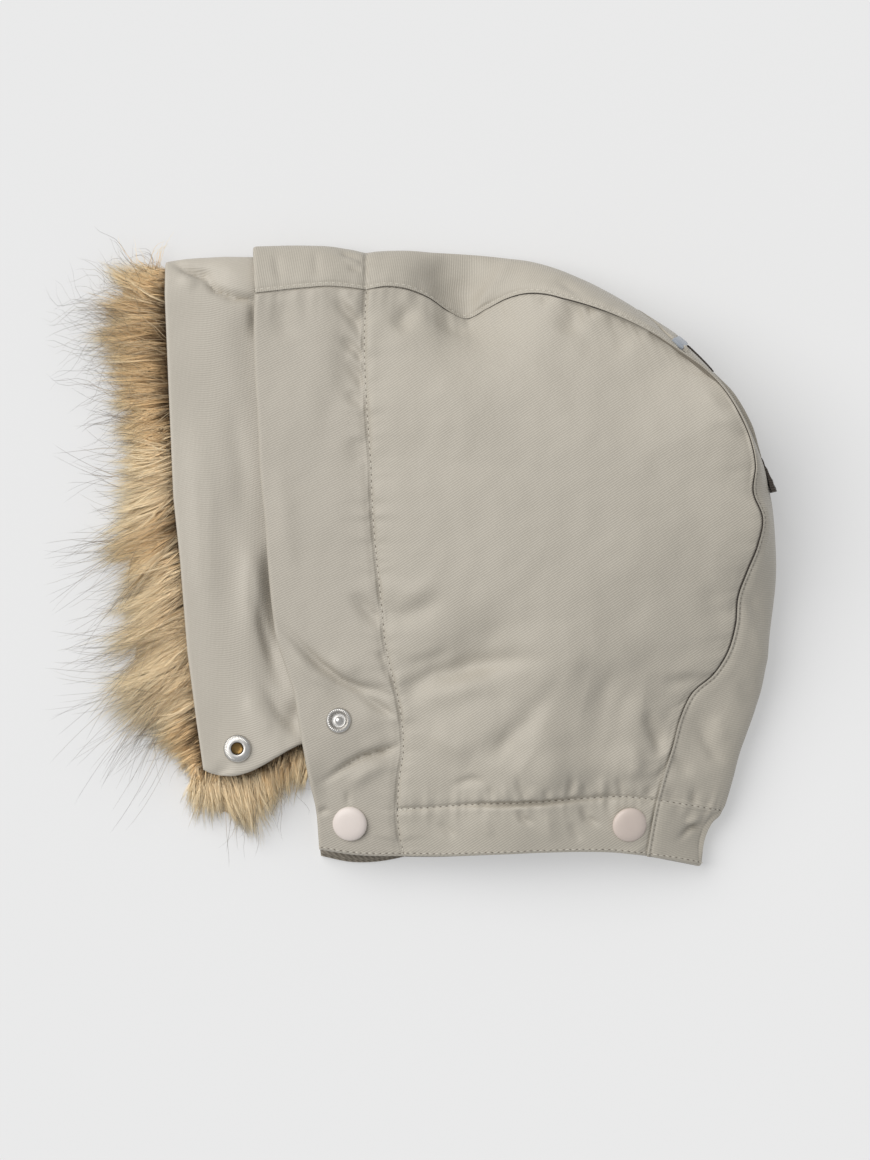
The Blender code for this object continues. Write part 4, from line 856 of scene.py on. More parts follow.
def buildBand():
    cut = bandCut
    paths = [i / cut["runRows"] for i in range(cut["runRows"])] + cut["closeRows"]
    paths += [1 + i / cut["foldRows"] for i in range(cut["foldRows"])]
    paths = sorted(paths + [2 + i / cut["runRows"] for i in range(cut["runRows"] + 1)])
    shares = sorted([j / cut["columns"] for j in range(cut["columns"] + 1)] + cut["closeColumns"])
    coarse = [[bandPoint(share, path) for share in shares] for path in paths]
    normals = normalsOf(coarse, -1)
    across, down = runsOf(coarse)
    grid, inner = [], []
    for i, line in enumerate(coarse):
        row, back = [], []
        for j, point in enumerate(line):
            normal = normals[i][j]
            height = bandRise(point, normal)
            turn = turnedEdge(min(across[i][j], down[i][j], down[-1][j] - down[i][j]), cut["edge"])
            row.append(point + normal * (height - turn * cut["pinch"]))
            back.append(point + normal * (min(height, 0.2) - cut["wall"] * (1 - 0.4 * turn)))
        grid.append(row)
        inner.append(back)
    shape = {"grid": grid, "inner": inner, "across": across, "down": down, "outward": -1}
    return clothPiece("trimBand", shape, ("band", "underfur"), ["trim_band"])


bandPiece = buildBand()

# The lining that shows below the neck edge
liningCut = {"wall": 1, "depth": 12, "inset": 1.1, "floor": 4}
clothLining = {**clothUnder, "detail": (8, 8), "wall": liningCut["wall"], "loose": 0.12, "edges": ("top",)}


def buildLining():
    cut = liningCut
    coarse = [[Vector((p.x, p.y + cut["inset"] + cut["depth"] * back, cut["floor"] + cut["wall"]))
               for p in underEdges["brimNeck"][:-1]] for back in (0.0, 0.5, 1.0)]
    shape = shapeCloth(clothLining, coarse, -1)
    return clothPiece("hemLining", shape, ("lining", "lining"), ["hem_lining"])


liningPiece = buildLining()

# The adjuster: where each part starts and ends on the crown, its upper edge at both ends and its
# lower edge as shares of the crown's width, its wall, and which of its ends slope down to the cloth
adjusterPieces = {
    "strapAnchor": {"node": "strap_anchor", "from": 19.2, "to": 21.3, "high": (0.46, 0.13), "low": 0.70,
                    "wall": 0.8, "slopes": "start", "look": "crown", "slot": "shell"},
    "reflectiveTab": {"node": "reflective_tab", "from": 21.32, "to": 21.96, "high": (0.08, 0.05), "low": 0.62,
                      "wall": 1, "slopes": "none", "look": "reflective", "slot": "reflective"},
    "loopTape": {"node": "loop_tape", "from": 21.98, "to": 23.33, "high": (0.44, 0.47), "low": 0.70,
                 "wall": 0.5, "slopes": "none", "look": "loop", "slot": "tape"},
    "adjusterStrap": {"node": "adjuster_strap", "from": 23.35, "to": 26.63, "high": (0.40, 0.40), "low": 0.70,
                      "wall": 1.4, "slopes": "both", "look": "crown", "slot": "shell"},
    "hookTape": {"node": "hook_tape", "from": 26.65, "to": 27.8, "high": (0.48, 0.34), "low": 0.70,
                 "wall": 1.6, "slopes": "start", "look": "hook", "slot": "tape"},
}
adjusterLay = {"rows": 8, "columns": 16, "clear": 0.12, "sunk": 0.2, "foot": 0.2, "rim": 0.15, "back": 0.05,
               "curl": 1.3, "hooks": (0.18, 2.4)}


def onCrown(station, share):
    # the crown's surface and its normal, read between the four points around a place
    shape = hoodShapes["crownPanel"]
    rows, columns = shape["rows"], shape["columns"]
    i = spanOf(rows, station + 1e-6)
    u = (station - rows[i]) / (rows[i + 1] - rows[i])
    across = share * hoodCut["around"]
    j = spanOf(columns, across + 1e-6)
    v = (across - columns[j]) / (columns[j + 1] - columns[j])
    point, normal = Vector(), Vector()
    for row, shareI in ((i, 1 - u), (i + 1, u)):
        for column, shareJ in ((j, 1 - v), (j + 1, v)):
            point += shape["grid"][row][column] * (shareI * shareJ)
            normal += shape["normals"][row][column] * (shareI * shareJ)
    return point, normal.normalized()


def buildAdjuster():
    lay, made = adjusterLay, []
    for name, cut in adjusterPieces.items():
        length, (first, last) = cut["to"] - cut["from"], cut["high"]
        rows, columns = max(6, round(length * lay["rows"])), lay["columns"]
        grid, inner = [], []
        for i in range(rows + 1):
            station = cut["from"] + length * i / rows
            high = first + (last - first) * smoothStep(i / rows)
            ends = smoothStep(min(i, rows - i) / rows * 3)
            slope = {"none": 1.0, "start": smoothStep(i / rows), "both": ends}[cut["slopes"]]
            rise = lay["foot"] + (1 - lay["foot"]) * slope
            line, back = [], []
            for j in range(columns + 1):
                point, normal = onCrown(station, high + (cut["low"] - high) * j / columns)
                rim = min(i, rows - i, j, columns - j) == 0
                lift = lay["clear"] + (lay["sunk"] + cut["wall"]) * rise - (lay["rim"] if rim else 0.0)
                away = lay["back"]
                if cut["look"] == "hook":   # its free end curls up, and its hooks stand in rows
                    away = lay["curl"] * (i / rows) ** 2
                    lift += lay["hooks"][0] * math.sin(i * lay["hooks"][1]) * (not rim) + away
                line.append(point + normal * lift)
                back.append(point + normal * away)
            grid.append(line)
            inner.append(back)
        across, down = runsOf(grid)
        shape = {"grid": grid, "inner": inner, "across": across, "down": down, "outward": 1}
        made.append(clothPiece(name, shape, (cut["look"], cut["look"]), [cut["node"]]))
    return made


adjusterMade = buildAdjuster()
print("adjuster made")


def meshPiece(name, points, faces, look, slot, maps=None):
    mesh = bpy.data.meshes.new(name)
    mesh.from_pydata(points, [], faces)
    mesh.materials.append(looks[look])
    mesh.shade_smooth()
    if maps:
        layer = mesh.uv_layers.new(name="map")
        layer.data.foreach_set("uv", [part for loop in mesh.loops for part in maps[loop.vertex_index]])
    piece = linked(name, mesh)
    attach(piece, "root")
    return piece


# Stitches: one is modelled, then laid along each seam
stitchLook = {   # name: thread, pitch, length, radius, where the first one starts
    "pale": ("paleThread", 2.8, 1.9, 0.24, 0.4), "dusk": ("duskThread", 2.2, 1.1, 0.15, 0.4),
    "tack": ("paleThread", 1.0, 1.4, 0.2, 0.0), "light": ("paleThread", 2.8, 1.7, 0.2, 0.0),
    # dark marks half a pitch from the pale stitches, painted shade of the needle holes
    "holes": ("holeThread", 2.8, 1.0, 0.2, 1.75),
}
stitchLay = {"turn": 0.12, "length": (0.7, 1.15), "flat": 0.8, "clear": 0.04, "tack": (0.4, 0.75, 0.1)}
# the crown seam's dark tube, partly thread and partly painted groove shade
seamThread = {"sides": 5, "radius": 0.25, "clear": 0.16, "rise": 0.34, "thinStart": 150, "thinEnd": 60}


def stitchModel():
    bpy.ops.object.select_all(action="DESELECT")
    bpy.ops.mesh.primitive_uv_sphere_add(segments=6, ring_count=5, radius=1.0)
    model = bpy.context.object
    bpy.ops.object.mode_set(mode="EDIT")
    bpy.ops.mesh.select_all(action="SELECT")
    bpy.ops.transform.rotate(value=math.pi / 2, orient_axis="Y", center_override=(0, 0, 0))
    bpy.ops.object.mode_set(mode="OBJECT")
    shape = [v.co.copy() for v in model.data.vertices], [tuple(p.vertices) for p in model.data.polygons]
    bpy.data.objects.remove(model, do_unlink=True)
    return shape


def between(one, two, share):
    # a place and its normal, part of the way from one to two
    return one[0] + (two[0] - one[0]) * share, (one[1] + (two[1] - one[1]) * share).normalized()


def alongTo(walk, distance):
    run = 0.0
    for one, two in zip(walk, walk[1:]):
        step = (two[0] - one[0]).length
        if run + step >= distance:
            return between(one, two, (distance - run) / step)
        run += step
    return walk[-1]


def lineOn(shape, side, distance, first=0.0, last=1.0):
    # a line on the cloth at a distance from one of its sides, or along an inside row
    grid = [list(zip(places, normals)) for places, normals in zip(shape["grid"], shape["normals"])]
    if isinstance(side, int):
        line = grid[shape["rows"].index(round(side, 5))]
    else:
        walks = grid if side in ("left", "right") else list(zip(*grid))
        line = [alongTo(walk if side in ("left", "top") else walk[::-1], distance) for walk in walks]
    count = len(line) - 1
    return line[round(first * count): round(last * count) + 1]


def stitchAlong(store, model, line, look, seed):
    points, faces = store
    _, pitch, length, radius, start = look
    rng = random.Random(seed)
    run, due = 0.0, start + length / 2
    for one, two in zip(line, line[1:]):
        step = (two[0] - one[0]).length
        while step > 1e-6 and run + step >= due:
            centre, normal = between(one, two, (due - run) / step)
            along = (two[0] - one[0]).normalized()
            sideways = normal.cross(along).normalized()
            along = (along + sideways * rng.uniform(-stitchLay["turn"], stitchLay["turn"])).normalized()
            sideways = normal.cross(along).normalized()
            size = rng.uniform(*stitchLay["length"])
            base = len(points)
            for p in model[0]:
                up = p.z * radius * stitchLay["flat"] + stitchLay["clear"]
                points.append(placed(centre + along * (p.x * length / 2 * size) + sideways * (p.y * radius)
                                     + normal * up))
            faces += [tuple(base + k for k in face) for face in model[1]]
            due += pitch
        run += step


def buildSeamThread(side):
    # the dark line in the crown seam: a thin tube along it, finer at its ends; partly the seam's dark thread,
    # partly painted shade of the seam's groove
    cut = seamThread
    path = lineOn(side, "top", 0.8, 0.02, 1.0) + lineOn(side, "right", 0.75, 0.0, 0.72)[1:]
    points, faces, sides, last = [], [], cut["sides"], len(path) - 1
    for i, (point, normal) in enumerate(path):
        along = (path[min(i + 1, last)][0] - path[max(i - 1, 0)][0]).normalized()
        sideways = normal.cross(along).normalized()
        size = cut["radius"] * min(1.0, 0.2 + i / cut["thinStart"], 0.2 + (last - i) / cut["thinEnd"])
        lift = Vector((0, 0, cut["clear"] + cut["rise"] * min(1.0, i / len(path) * 2)))
        for k in range(sides):
            turn = 2 * math.pi * k / sides
            offset = sideways * (math.cos(turn) * size) + normal * (math.sin(turn) * size)
            points.append(placed(point + offset + lift))
    for i in range(last):
        for k in range(sides):
            a, b = i * sides + k, i * sides + (k + 1) % sides
            faces.append((a, a + sides, b + sides, b))
    faces += [tuple(range(sides)), tuple(range(len(points) - 1, len(points) - 1 - sides, -1))]
    return meshPiece("crownSeamThreadAndShade", points, faces, "darkThreadAndGrooveShade", "shell")


def buildStitches():
    model = stitchModel()
    side, brim, crown = (hoodShapes[name] for name in ("sidePanel", "brimPanel", "crownPanel"))
    lines = {
        "pale": [lineOn(crown, "left", 1.45, 0.0, 0.55)],
        "dusk": [lineOn(crown, "left", 1.35, 0.62, 1.0)],
        "light": [lineOn(side, "left", 0.35), lineOn(side, downBack, 0), lineOn(crown, hemRow, 0, 0, 0.5),
                  lineOn(side, "bottom", 2.3), lineOn(brim, "bottom", 2.1),
                  lineOn(crown, "bottom", 2.3, 0, 0.5)],
        "holes": [lineOn(brim, "top", 0.3), lineOn(side, "top", 0.9, 0.0, 0.4)],
    }
    lines["holes"] += lines["light"]
    right, swing, up = stitchLay["tack"]   # the bar tack goes to and fro across the hem's seam
    tack = enumerate(lineOn(side, downBack, 0, 0.0, 0.09))
    lines["tack"] = [[(place + Vector((right, swing if i % 2 else -swing, up)), normal)
                      for i, (place, normal) in tack]]
    pieces = []
    for name, paths in lines.items():
        store = ([], [])
        for seed, line in enumerate(paths):
            stitchAlong(store, model, line, stitchLook[name], seed)
        pieces.append(meshPiece(name + "Stitches", *store, stitchLook[name][0], "shell"))
    return pieces + [buildSeamThread(side)]


stitchPieces = buildStitches()
print("stitches made")

snapCut = {   # outline from the foot up to the middle, and where the real ring is knurled
    "cap": {"steps": 96, "drop": 0.1, "outline": [
        (7, 0), (7.3, 0.08), (7.5, 0.4), (7.42, 0.8), (7, 1.35), (6.2, 1.84), (4.6, 2.2), (2.5, 2.36),
        (0, 2.4)]},
    "stud": {"steps": 136, "drop": 0.1, "teeth": (3.2, 4.4, 34, 0.2), "outline": [
        (5.4, 0), (5.5, 0.4), (5.3, 0.9), (4.9, 1.3), (4.3, 1.42), (3.7, 1.3), (3.3, 1), (2.9, 0.62),
        (2.3, 0.55), (1.5, 0.7), (1.25, 1.05), (1.55, 1.5), (1.6, 1.95), (1.25, 2.38), (0.7, 2.66),
        (0, 2.75)]},
    "socket": {"steps": 138, "drop": 0.1, "teeth": (4.7, 5.8, 46, 0.16), "outline": [
        (5.9, 0), (6, 0.7), (5.7, 1.3), (5.2, 1.62), (4.8, 1.6), (4.2, 1.85), (3.2, 1.92), (2.8, 1.82),
        (2.6, 1.5), (2.55, 0.7), (2.3, 0.35), (0, 0.35)]},
    "cup": {"steps": 48, "drop": 0, "outline": [(2.5, 0.5), (2.4, 1.1), (2, 0.75), (1.2, 0.6), (0, 0.62)]},
}


def turnedModel(cut):
    # a round part drawn up ring by ring from its foot, with its knurled stretch lifted at the end
    outline = [(radius * mm, height * mm) for radius, height in cut["outline"]]
    bpy.ops.object.select_all(action="DESELECT")
    bpy.ops.mesh.primitive_circle_add(vertices=cut["steps"], radius=outline[0][0], fill_type="TRIFAN")
    model = bpy.context.object
    bpy.ops.object.mode_set(mode="EDIT")
    bpy.ops.transform.translate(value=(0, 0, outline[0][1]))
    bpy.ops.mesh.select_mode(type="EDGE")
    bpy.ops.mesh.select_all(action="DESELECT")
    bpy.ops.mesh.select_non_manifold()
    for (radius, height), (nextRadius, nextHeight) in zip(outline, outline[1:]):
        bpy.ops.mesh.extrude_region_move(TRANSFORM_OT_translate={"value": (0, 0, nextHeight - height)})
        if nextRadius:
            share = nextRadius / radius
            bpy.ops.transform.resize(value=(share, share, 1), center_override=(0, 0, nextHeight))
    bpy.ops.mesh.merge(type="CENTER")
    bpy.ops.mesh.select_all(action="SELECT")
    bpy.ops.mesh.normals_make_consistent(inside=False)
    bpy.ops.object.mode_set(mode="OBJECT")
    if "teeth" in cut:
        near, far, count, lift = cut["teeth"]
        for vertex in model.data.vertices:
            x, y, z = vertex.co / mm
            if near <= round(math.hypot(x, y), 3) <= far and z > 0.2:
                vertex.co.z += lift * mm * math.cos(math.atan2(y, x) * count)
    bpy.ops.object.shade_smooth_by_angle(angle=math.radians(40))
    return model


def seatOn(piece, x, y, radius, tilt=(0.0, 0.0)):
    # the cloth's height and slope under a round part, and how far the part leans from it
    polygons = [tuple(p.vertices) for p in piece.data.polygons]
    tree = BVHTree.FromPolygons([v.co for v in piece.data.vertices], polygons)
    centre = placed(Vector((x, y, 200.0)))
    rim = []
    for k in range(24):
        offset = heading(360 * k / 24) * (radius * mm)
        rim.append(tree.ray_cast(centre + offset, Vector((0, 0, -1)))[0])
    seat = sum(rim, Vector()) / len(rim)
    normal = sum(((one - seat).cross(two - seat) for one, two in zip(rim, rim[1:] + rim[:1])), Vector())
    return seat, (normal.normalized() + Vector((*tilt, 0.0))).normalized()


def snapPiece(name, node, kind, look, slot, seat):
    # a copy of the modelled part with its own mesh, turned to the cloth and set down on it
    place, normal = seat
    piece = linked(name, snapModels[kind].data.copy())
    turn = Vector((0, 0, 1)).rotation_difference(normal).to_matrix().to_4x4()
    down = Matrix.Translation((0, 0, -snapCut[kind]["drop"] * mm))
    piece.data.transform(Matrix.Translation(place) @ turn @ down)
    piece.data.materials.append(looks[look])
    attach(piece, "root")
    if node:
        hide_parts(node)
    return piece


frontSeat = seatOn(hoodPieces["brimPanel"], -28.8, -114.8, 7.5, (-0.11, 0.05))
backSeat = seatOn(hoodPieces["sidePanel"], 91.2, -115.2, 7.5, (0.10, -0.08))
studSeat = seatOn(hoodPieces["brimPanel"], -33.5, -70.5, 5.5)
socketSeat = seatOn(bandPiece, -77.0, -82.6, 6.0)
snapModels = {kind: turnedModel(cut) for kind, cut in snapCut.items()}
snapPieces = {name: snapPiece(name, *rest) for name, *rest in (
    ("capFront", "cap_front", "cap", "cap", "cap", frontSeat),
    # the back cap takes the darker lacquer copy, which is painted shade
    ("capBack", "cap_back", "cap", "capPaintedShade", "cap", backSeat),
    ("studRing", "stud", "stud", "nickel", "snap_metal", studSeat),
    ("socketRing", "socket", "socket", "nickel", "snap_metal", socketSeat),
    ("socketCup", None, "cup", "brassAndHollowShade", "snap_metal", socketSeat))}
for model in snapModels.values():
    bpy.data.objects.remove(model, do_unlink=True)
for node, look in (("cap_front_under", "cap"), ("cap_back_under", "cap"), ("stud_under", "nickel"),
                   ("socket_under", "nickel")):
    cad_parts[node].material_slots[0].material = looks[look]
print("snaps made")

furCut = {
    "side": [   # y along the free edge, direction in degrees, length of the dense pile, tone
        (120, 160, 14, 0.46), (114, 162, 26, 0.32), (108, 166, 34, 0.2), (101, 171, 37, 0.18),
        (92, 176, 34, 0.22), (84, 178, 31, 0.3), (76, 181, 28, 0.36), (64, 185, 27, 0.36),
        (52, 190, 26, 0.6), (38, 196, 28, 1.2), (28, 200, 32, 1.1), (18, 203, 38, 0.7), (8, 205, 38, 0.78),
        (-4, 207, 34, 1.16), (-16, 210, 36, 1.22), (-28, 214, 44, 1.18), (-38, 216, 47, 1.22),
        (-50, 216, 41, 1.24), (-58, 211, 34, 1.14), (-66, 207, 27, 0.9), (-74, 209, 20, 0.5),
        (-84, 224, 11, 0.4), (-93, 240, 6, 0.6),
    ],
    "end": [    # x along the strip's end, its y, direction, length, tone; the highest tones, at the strip's outer corner, are painted light that lifts the pile out of the strip's shadow
        (-93, -94, 264, 20, 1.35), (-88, -96, 273, 21.5, 1.35), (-82, -97, 288, 25, 1.35),
        (-76, -97, 287, 26, 1.25), (-70, -95, 281, 23, 1), (-64, -92, 274, 20, 0.46),
        (-58, -88.5, 268, 17, 0.36), (-52, -85, 264, 18, 0.6), (-48, -83, 263, 25, 0.8),
    ],
    "guards": [   # y, bunches at a lock, curl, reach past the pile
        (120, 7, 4.6, 1.7), (96, 7, 4.2, 1.55), (70, 6, 3, 1.7), (48, 3, 1.6, 1.8), (30, 3, 1, 1.8),
        (14, 5, 0.8, 1.6), (-6, 3, 0.8, 1.6), (-34, 6, 0.7, 1.42), (-50, 6, 0.8, 1.5), (-62, 3, 1.2, 1.45),
        (-74, 1.6, 1.6, 1.5), (-93, 0.6, 1.4, 1.5),
    ],
    "tuft": [(-112, 122, 88, 15), (-117, 121, 112, 13)],   # at the crown: x, y, direction, length
    "sideRun": (119.5, 212), "endRun": (-94, 48),   # where the locks start, and how far they run
    # coarse locks, then fine ones: how many, how much they wander, wisps, width, height of the top
    "sideLocks": ((34, 9, 50, 6, 15), (84, 7, 34, 3.4, 14)),
    "endLocks": ((10, 6, 46, 4.6, 13), (22, 7, 30, 2.6, 12.5)),
    "flow": (14, 18), "uneven": (8, 0.26), "patchy": (11, 0.30), "tucked": (0.5, 3), "deeper": 5,
}
pileHair = {   # ranges are drawn from for each lock, each wisp or each hair
    "perWisp": 5, "foot": 2, "thick": 0.14, "thickness": (0.6, 1.2), "segments": 3, "bend": (-18, 22),
    "gather": (0.15, 0.75), "long": (0.72, 1.06), "hairLong": (0.84, 1), "body": 0.72, "swell": 0.34,
    "toneSpread": 0.19, "toneUp": 0.16, "curl": (0.1, 0.9), "turns": 5, "back": (-1, 3), "belly": (0.8, 2.4),
}
guardHair = {
    "spread": (-4, 4), "bunch": (1, 1, 2, 3, 5), "turn": (-3, 9), "bend": (-3, 17, 4), "extra": (0, 5),
    "foot": 3, "hairLong": (0.72, 1.1), "straight": 0.55, "curl": (0.3, 1.3), "hairCurl": (0.6, 1.4),
    "thickness": (0.08, 0.135), "tone": (0.28, 0.72), "segments": 11, "farthest": (-163, -157),
}


hairShape = {"corners": (0.5, 2.6, 4.7), "taper": 0.7, "flatter": 0.6, "floor": 0.15, "tipFloor": 0.2}


def strand(store, root, bend, tip, width, tone, curl, wave, count):
    # one hair: three-sided, bent through its middle, tapering to a point
    hair, (points, faces, maps) = hairShape, store
    base = len(points)
    along = (tip - root).normalized()
    sideways = Vector((-along.y, along.x, 0.0)).normalized()
    upward = along.cross(sideways)
    phase, turns = wave
    for k in range(count + 1):
        t = k / count
        place = root * (1 - t) ** 2 + bend * (2 * t * (1 - t)) + tip * t * t
        angle = t * turns + phase
        place += (sideways * math.sin(angle) + upward * (hair["flatter"] * math.cos(angle))) * (curl * t)
        if k == count:
            place.z = max(place.z, hair["tipFloor"])
            points.append(placed(place))
            maps.append((tone, 1.0))
            break
        size = width * (1 - hair["taper"] * t)
        for corner in hair["corners"]:
            point = place + sideways * (math.cos(corner) * size) + upward * (math.sin(corner) * size)
            point.z = max(point.z, hair["floor"])
            points.append(placed(point))
            maps.append((tone, t))
    faces.append((base + 2, base + 1, base))
    for k in range(count - 1):
        a = base + k * 3
        faces += [(a, a + 1, a + 4, a + 3), (a + 1, a + 2, a + 5, a + 4), (a + 2, a, a + 3, a + 5)]
    a, top = base + (count - 1) * 3, base + count * 3
    faces += [(a, a + 1, top), (a + 1, a + 2, top), (a + 2, a, top)]


def sideRow(y):
    # direction, length and tone of the fur at a place on the strip's free edge
    return rowAt(furCut["side"], y)[1:]


def furLocks(rng, zone, count, wander):
    # where each lock of fur starts, its direction, length and tone; neighbours flow together
    cut, locks = furCut, []
    for k in range(count):
        share = (k + 0.5 + rng.uniform(-0.35, 0.35)) / count
        if zone == "side":
            y = cut["sideRun"][0] - share * cut["sideRun"][1]
            angle, length, tone = sideRow(y)
            tucked = rng.uniform(*cut["tucked"])
            tucked += cut["deeper"] * smoothStep((-8 - y) / 12) * smoothStep((y + 66) / 12)
            root = Vector((bandEdges(y)[0] + tucked, y, 0))
            length += tucked
        else:
            x = cut["endRun"][0] + share * cut["endRun"][1]
            _, y, angle, length, tone = rowAt(cut["end"], x)
            root = Vector((x, y + rng.uniform(1.0, 4.0), 0))
        flow, uneven, patchy = (
            strength * noise.noise(Vector((root.x / size, root.y / size, height)))
            for (size, strength), height in ((cut["flow"], 2.0), (cut["uneven"], 8.0), (cut["patchy"], 5.0)))
        angle += flow + rng.gauss(0, wander)
        tone += patchy + rng.uniform(-0.12, 0.12)
        locks.append((root, angle, length * (1 + uneven) * rng.uniform(0.88, 1.10), tone))
    return locks


def furTop(y, high):
    # the fur's highest roots stay under the strip, also where it turns over at the crown
    into = min(1.0, max(0.0, (y - bandCut["foldCentre"]) / bandCut["foldReach"]))
    return bandCut["middle"] + (high - bandCut["middle"]) * math.sqrt(1 - into * into) - 2.0 * into


def growLock(store, rng, lock, wisps, spread, high):
    # the dense pile of one lock: fine wisps of hairs that run side by side and draw together
    hair, (root, angle, length, tone) = pileHair, lock
    edge = heading(angle - 90)
    bend, gather = rng.uniform(*hair["bend"]), rng.uniform(*hair["gather"])
    for _ in range(wisps):
        start, layer = rng.uniform(-1, 1), rng.random() ** 0.8
        long = length * (hair["body"] + hair["swell"] * (1 - abs(start) ** 1.6)) * rng.uniform(*hair["long"])
        turn, turnEnd = rng.gauss(0, 4), bend + rng.gauss(0, 8)
        shade = tone + rng.gauss(0, hair["toneSpread"]) + hair["toneUp"] * (layer - 0.5)
        curl, phase, back = rng.uniform(*hair["curl"]), rng.uniform(0, 6.28), rng.uniform(*hair["back"])
        belly = Vector((0, 0, hair["belly"][1] * (1 - layer) + hair["belly"][0]))
        for _ in range(hair["perWisp"]):
            place = root + edge * (start * spread + rng.gauss(0, 0.3)) + heading(angle) * back
            place.z = hair["foot"] + layer * (furTop(place.y, high) - hair["foot"]) + rng.gauss(0, 0.3)
            reach = long * rng.uniform(*hair["hairLong"])
            way = heading(angle + turn + rng.gauss(0, 1.2))
            wayEnd = heading(angle + turnEnd + rng.gauss(0, 3))
            centre = place + way * (reach * 0.5) + belly
            tip = place + (way + wayEnd) * (reach * 0.5) - edge * (start * spread * gather)
            tip.z = max(0.5, place.z * (0.22 + 0.30 * layer) + rng.uniform(-0.4, 0.7))
            width = hair["thick"] * rng.uniform(*hair["thickness"])
            hairTone = min(1.0, max(0.0, shade + rng.gauss(0, 0.05)))
            strand(store, place, centre, tip, width, hairTone, curl, (phase, hair["turns"]), hair["segments"])


def growGuards(store, rng, lock, bunches, high, curled, longer):
    # long dark-tipped hairs in small bunches that cross and curl past the pile
    hair, (root, angle, length, _) = guardHair, lock
    edge = heading(angle - 90)
    middleBend, bendSpread, curlBend = hair["bend"]
    for _ in range(bunches):
        start, layer = rng.uniform(*hair["spread"]), rng.uniform(0.2, 1)
        turn, bend = rng.gauss(*hair["turn"]), rng.gauss(middleBend, bendSpread + curlBend * curled)
        reach = length * rng.uniform(0.95, longer) + rng.uniform(*hair["extra"])
        curl, phase = curled * rng.uniform(*hair["curl"]), rng.uniform(0, 6.28)
        turns = rng.uniform(4, 7 + 2 * curled)
        for _ in range(rng.choice(hair["bunch"])):
            place = root + edge * (start + rng.gauss(0, 0.9))
            place.z = hair["foot"] + layer * (furTop(place.y, high) - hair["foot"])
            long = reach * rng.uniform(*hair["hairLong"])
            way = heading(angle + turn + rng.gauss(0, 4))
            wayEnd = heading(angle + turn + bend + rng.gauss(0, 8 + 6 * curled))
            knee = place + way * (long * hair["straight"])
            centre = knee + Vector((0, 0, rng.uniform(0, 3)))
            tip = knee + wayEnd * (long * (1 - hair["straight"]))
            tip.z = max(0.6, place.z * rng.uniform(0.2, 0.9) + rng.uniform(-1, 2))
            tip.x = max(tip.x, rng.uniform(*hair["farthest"]))
            width, tone = rng.uniform(*hair["thickness"]), rng.uniform(*hair["tone"])
            hairCurl = curl * rng.uniform(*hair["hairCurl"])
            wave = (phase + rng.uniform(-0.9, 0.9), turns)
            strand(store, place, centre, tip, width, tone, hairCurl, wave, hair["segments"])


def strandPieces(name, store, look):
    points, faces, maps = store
    print("made", name, len(faces))
    return meshPiece(name, points, faces, look, "fur", maps)


def buildFur():
    cut, made = furCut, []
    rng = random.Random(11)
    grown = [(furLocks(rng, "side", count, wander), pile) for count, wander, *pile in cut["sideLocks"]]
    for part in range(3):   # the side's fur is three pieces, so that none is too heavy
        store = ([], [], [])
        for locks, pile in grown:
            for lock in locks[part * len(locks) // 3: (part + 1) * len(locks) // 3]:
                growLock(store, rng, lock, *pile)
        made.append(strandPieces("furSide%d" % (part + 1), store, "pile"))
    store = ([], [], [])
    for count, wander, *pile in cut["endLocks"]:
        for lock in furLocks(rng, "end", count, wander):
            growLock(store, rng, lock, *pile)
    for x, y, angle, length in cut["tuft"]:
        growGuards(store, rng, (Vector((x, y, 0)), angle, length, 0.0), 4, 12.0, 1.6, 1.3)
    made.append(strandPieces("furEnd", store, "pile"))
    store = ([], [], [])
    for lock in furLocks(rng, "side", 64, 10.0):
        _, bunches, curled, longer = rowAt(cut["guards"], lock[0].y)
        growGuards(store, rng, lock, round(bunches), 15.5, curled, longer)
    for lock in furLocks(rng, "end", 12, 8.0):
        growGuards(store, rng, lock, 2, 13.0, 1.4, 1.55)
    return made + [strandPieces("furGuardHairs", store, "guard")]


underfurCut = {   # the dense short pile under the strands
    "side": {"piece": "underfurSide", "node": "fur_side", "rows": 150, "from": 121.5, "run": -212.5,
             "high": 12.5},
    "end": {"piece": "underfurEnd", "node": "fur_end", "rows": 44, "from": -91, "run": 43, "high": 10.5},
    "profile": ((0, 0.95), (0.15, 1), (0.35, 0.85), (0.6, 0.55), (0.85, 0.25), (1, 0.05)),
    "length": 0.60, "wave": 0.12, "rough": 0.04, "roughTop": 0.08, "floor": 0.25, "foot": 2,
    "insideHigh": 13.6, "insideLow": 3.2, "foldReach": 15,
}


def underfurRoot(zone, value):
    # where a row of the underfur starts: three places under the strip, its root and its direction
    if zone == "side":
        free, hidden = bandEdges(value)
        angle, length, _ = sideRow(value)
        inside = [Vector((free + (hidden - free) * share, max(value, bandEnd(share) + 12.0), 0))
                  for share in (0.9, 0.5, 0.1)]
        return inside, Vector((free - 0.2, value, 0)), angle, length
    _, y, angle, length, _ = rowAt(furCut["end"], value)
    free, hidden = bandEdges(y)
    share = max(0.04, (value - free) / (hidden - free))
    inside = [Vector((value, bandEnd(share) + away, 0)) for away in (11.0, 6.0, 1.6)]
    return inside, Vector((value, y, 0)), angle, length


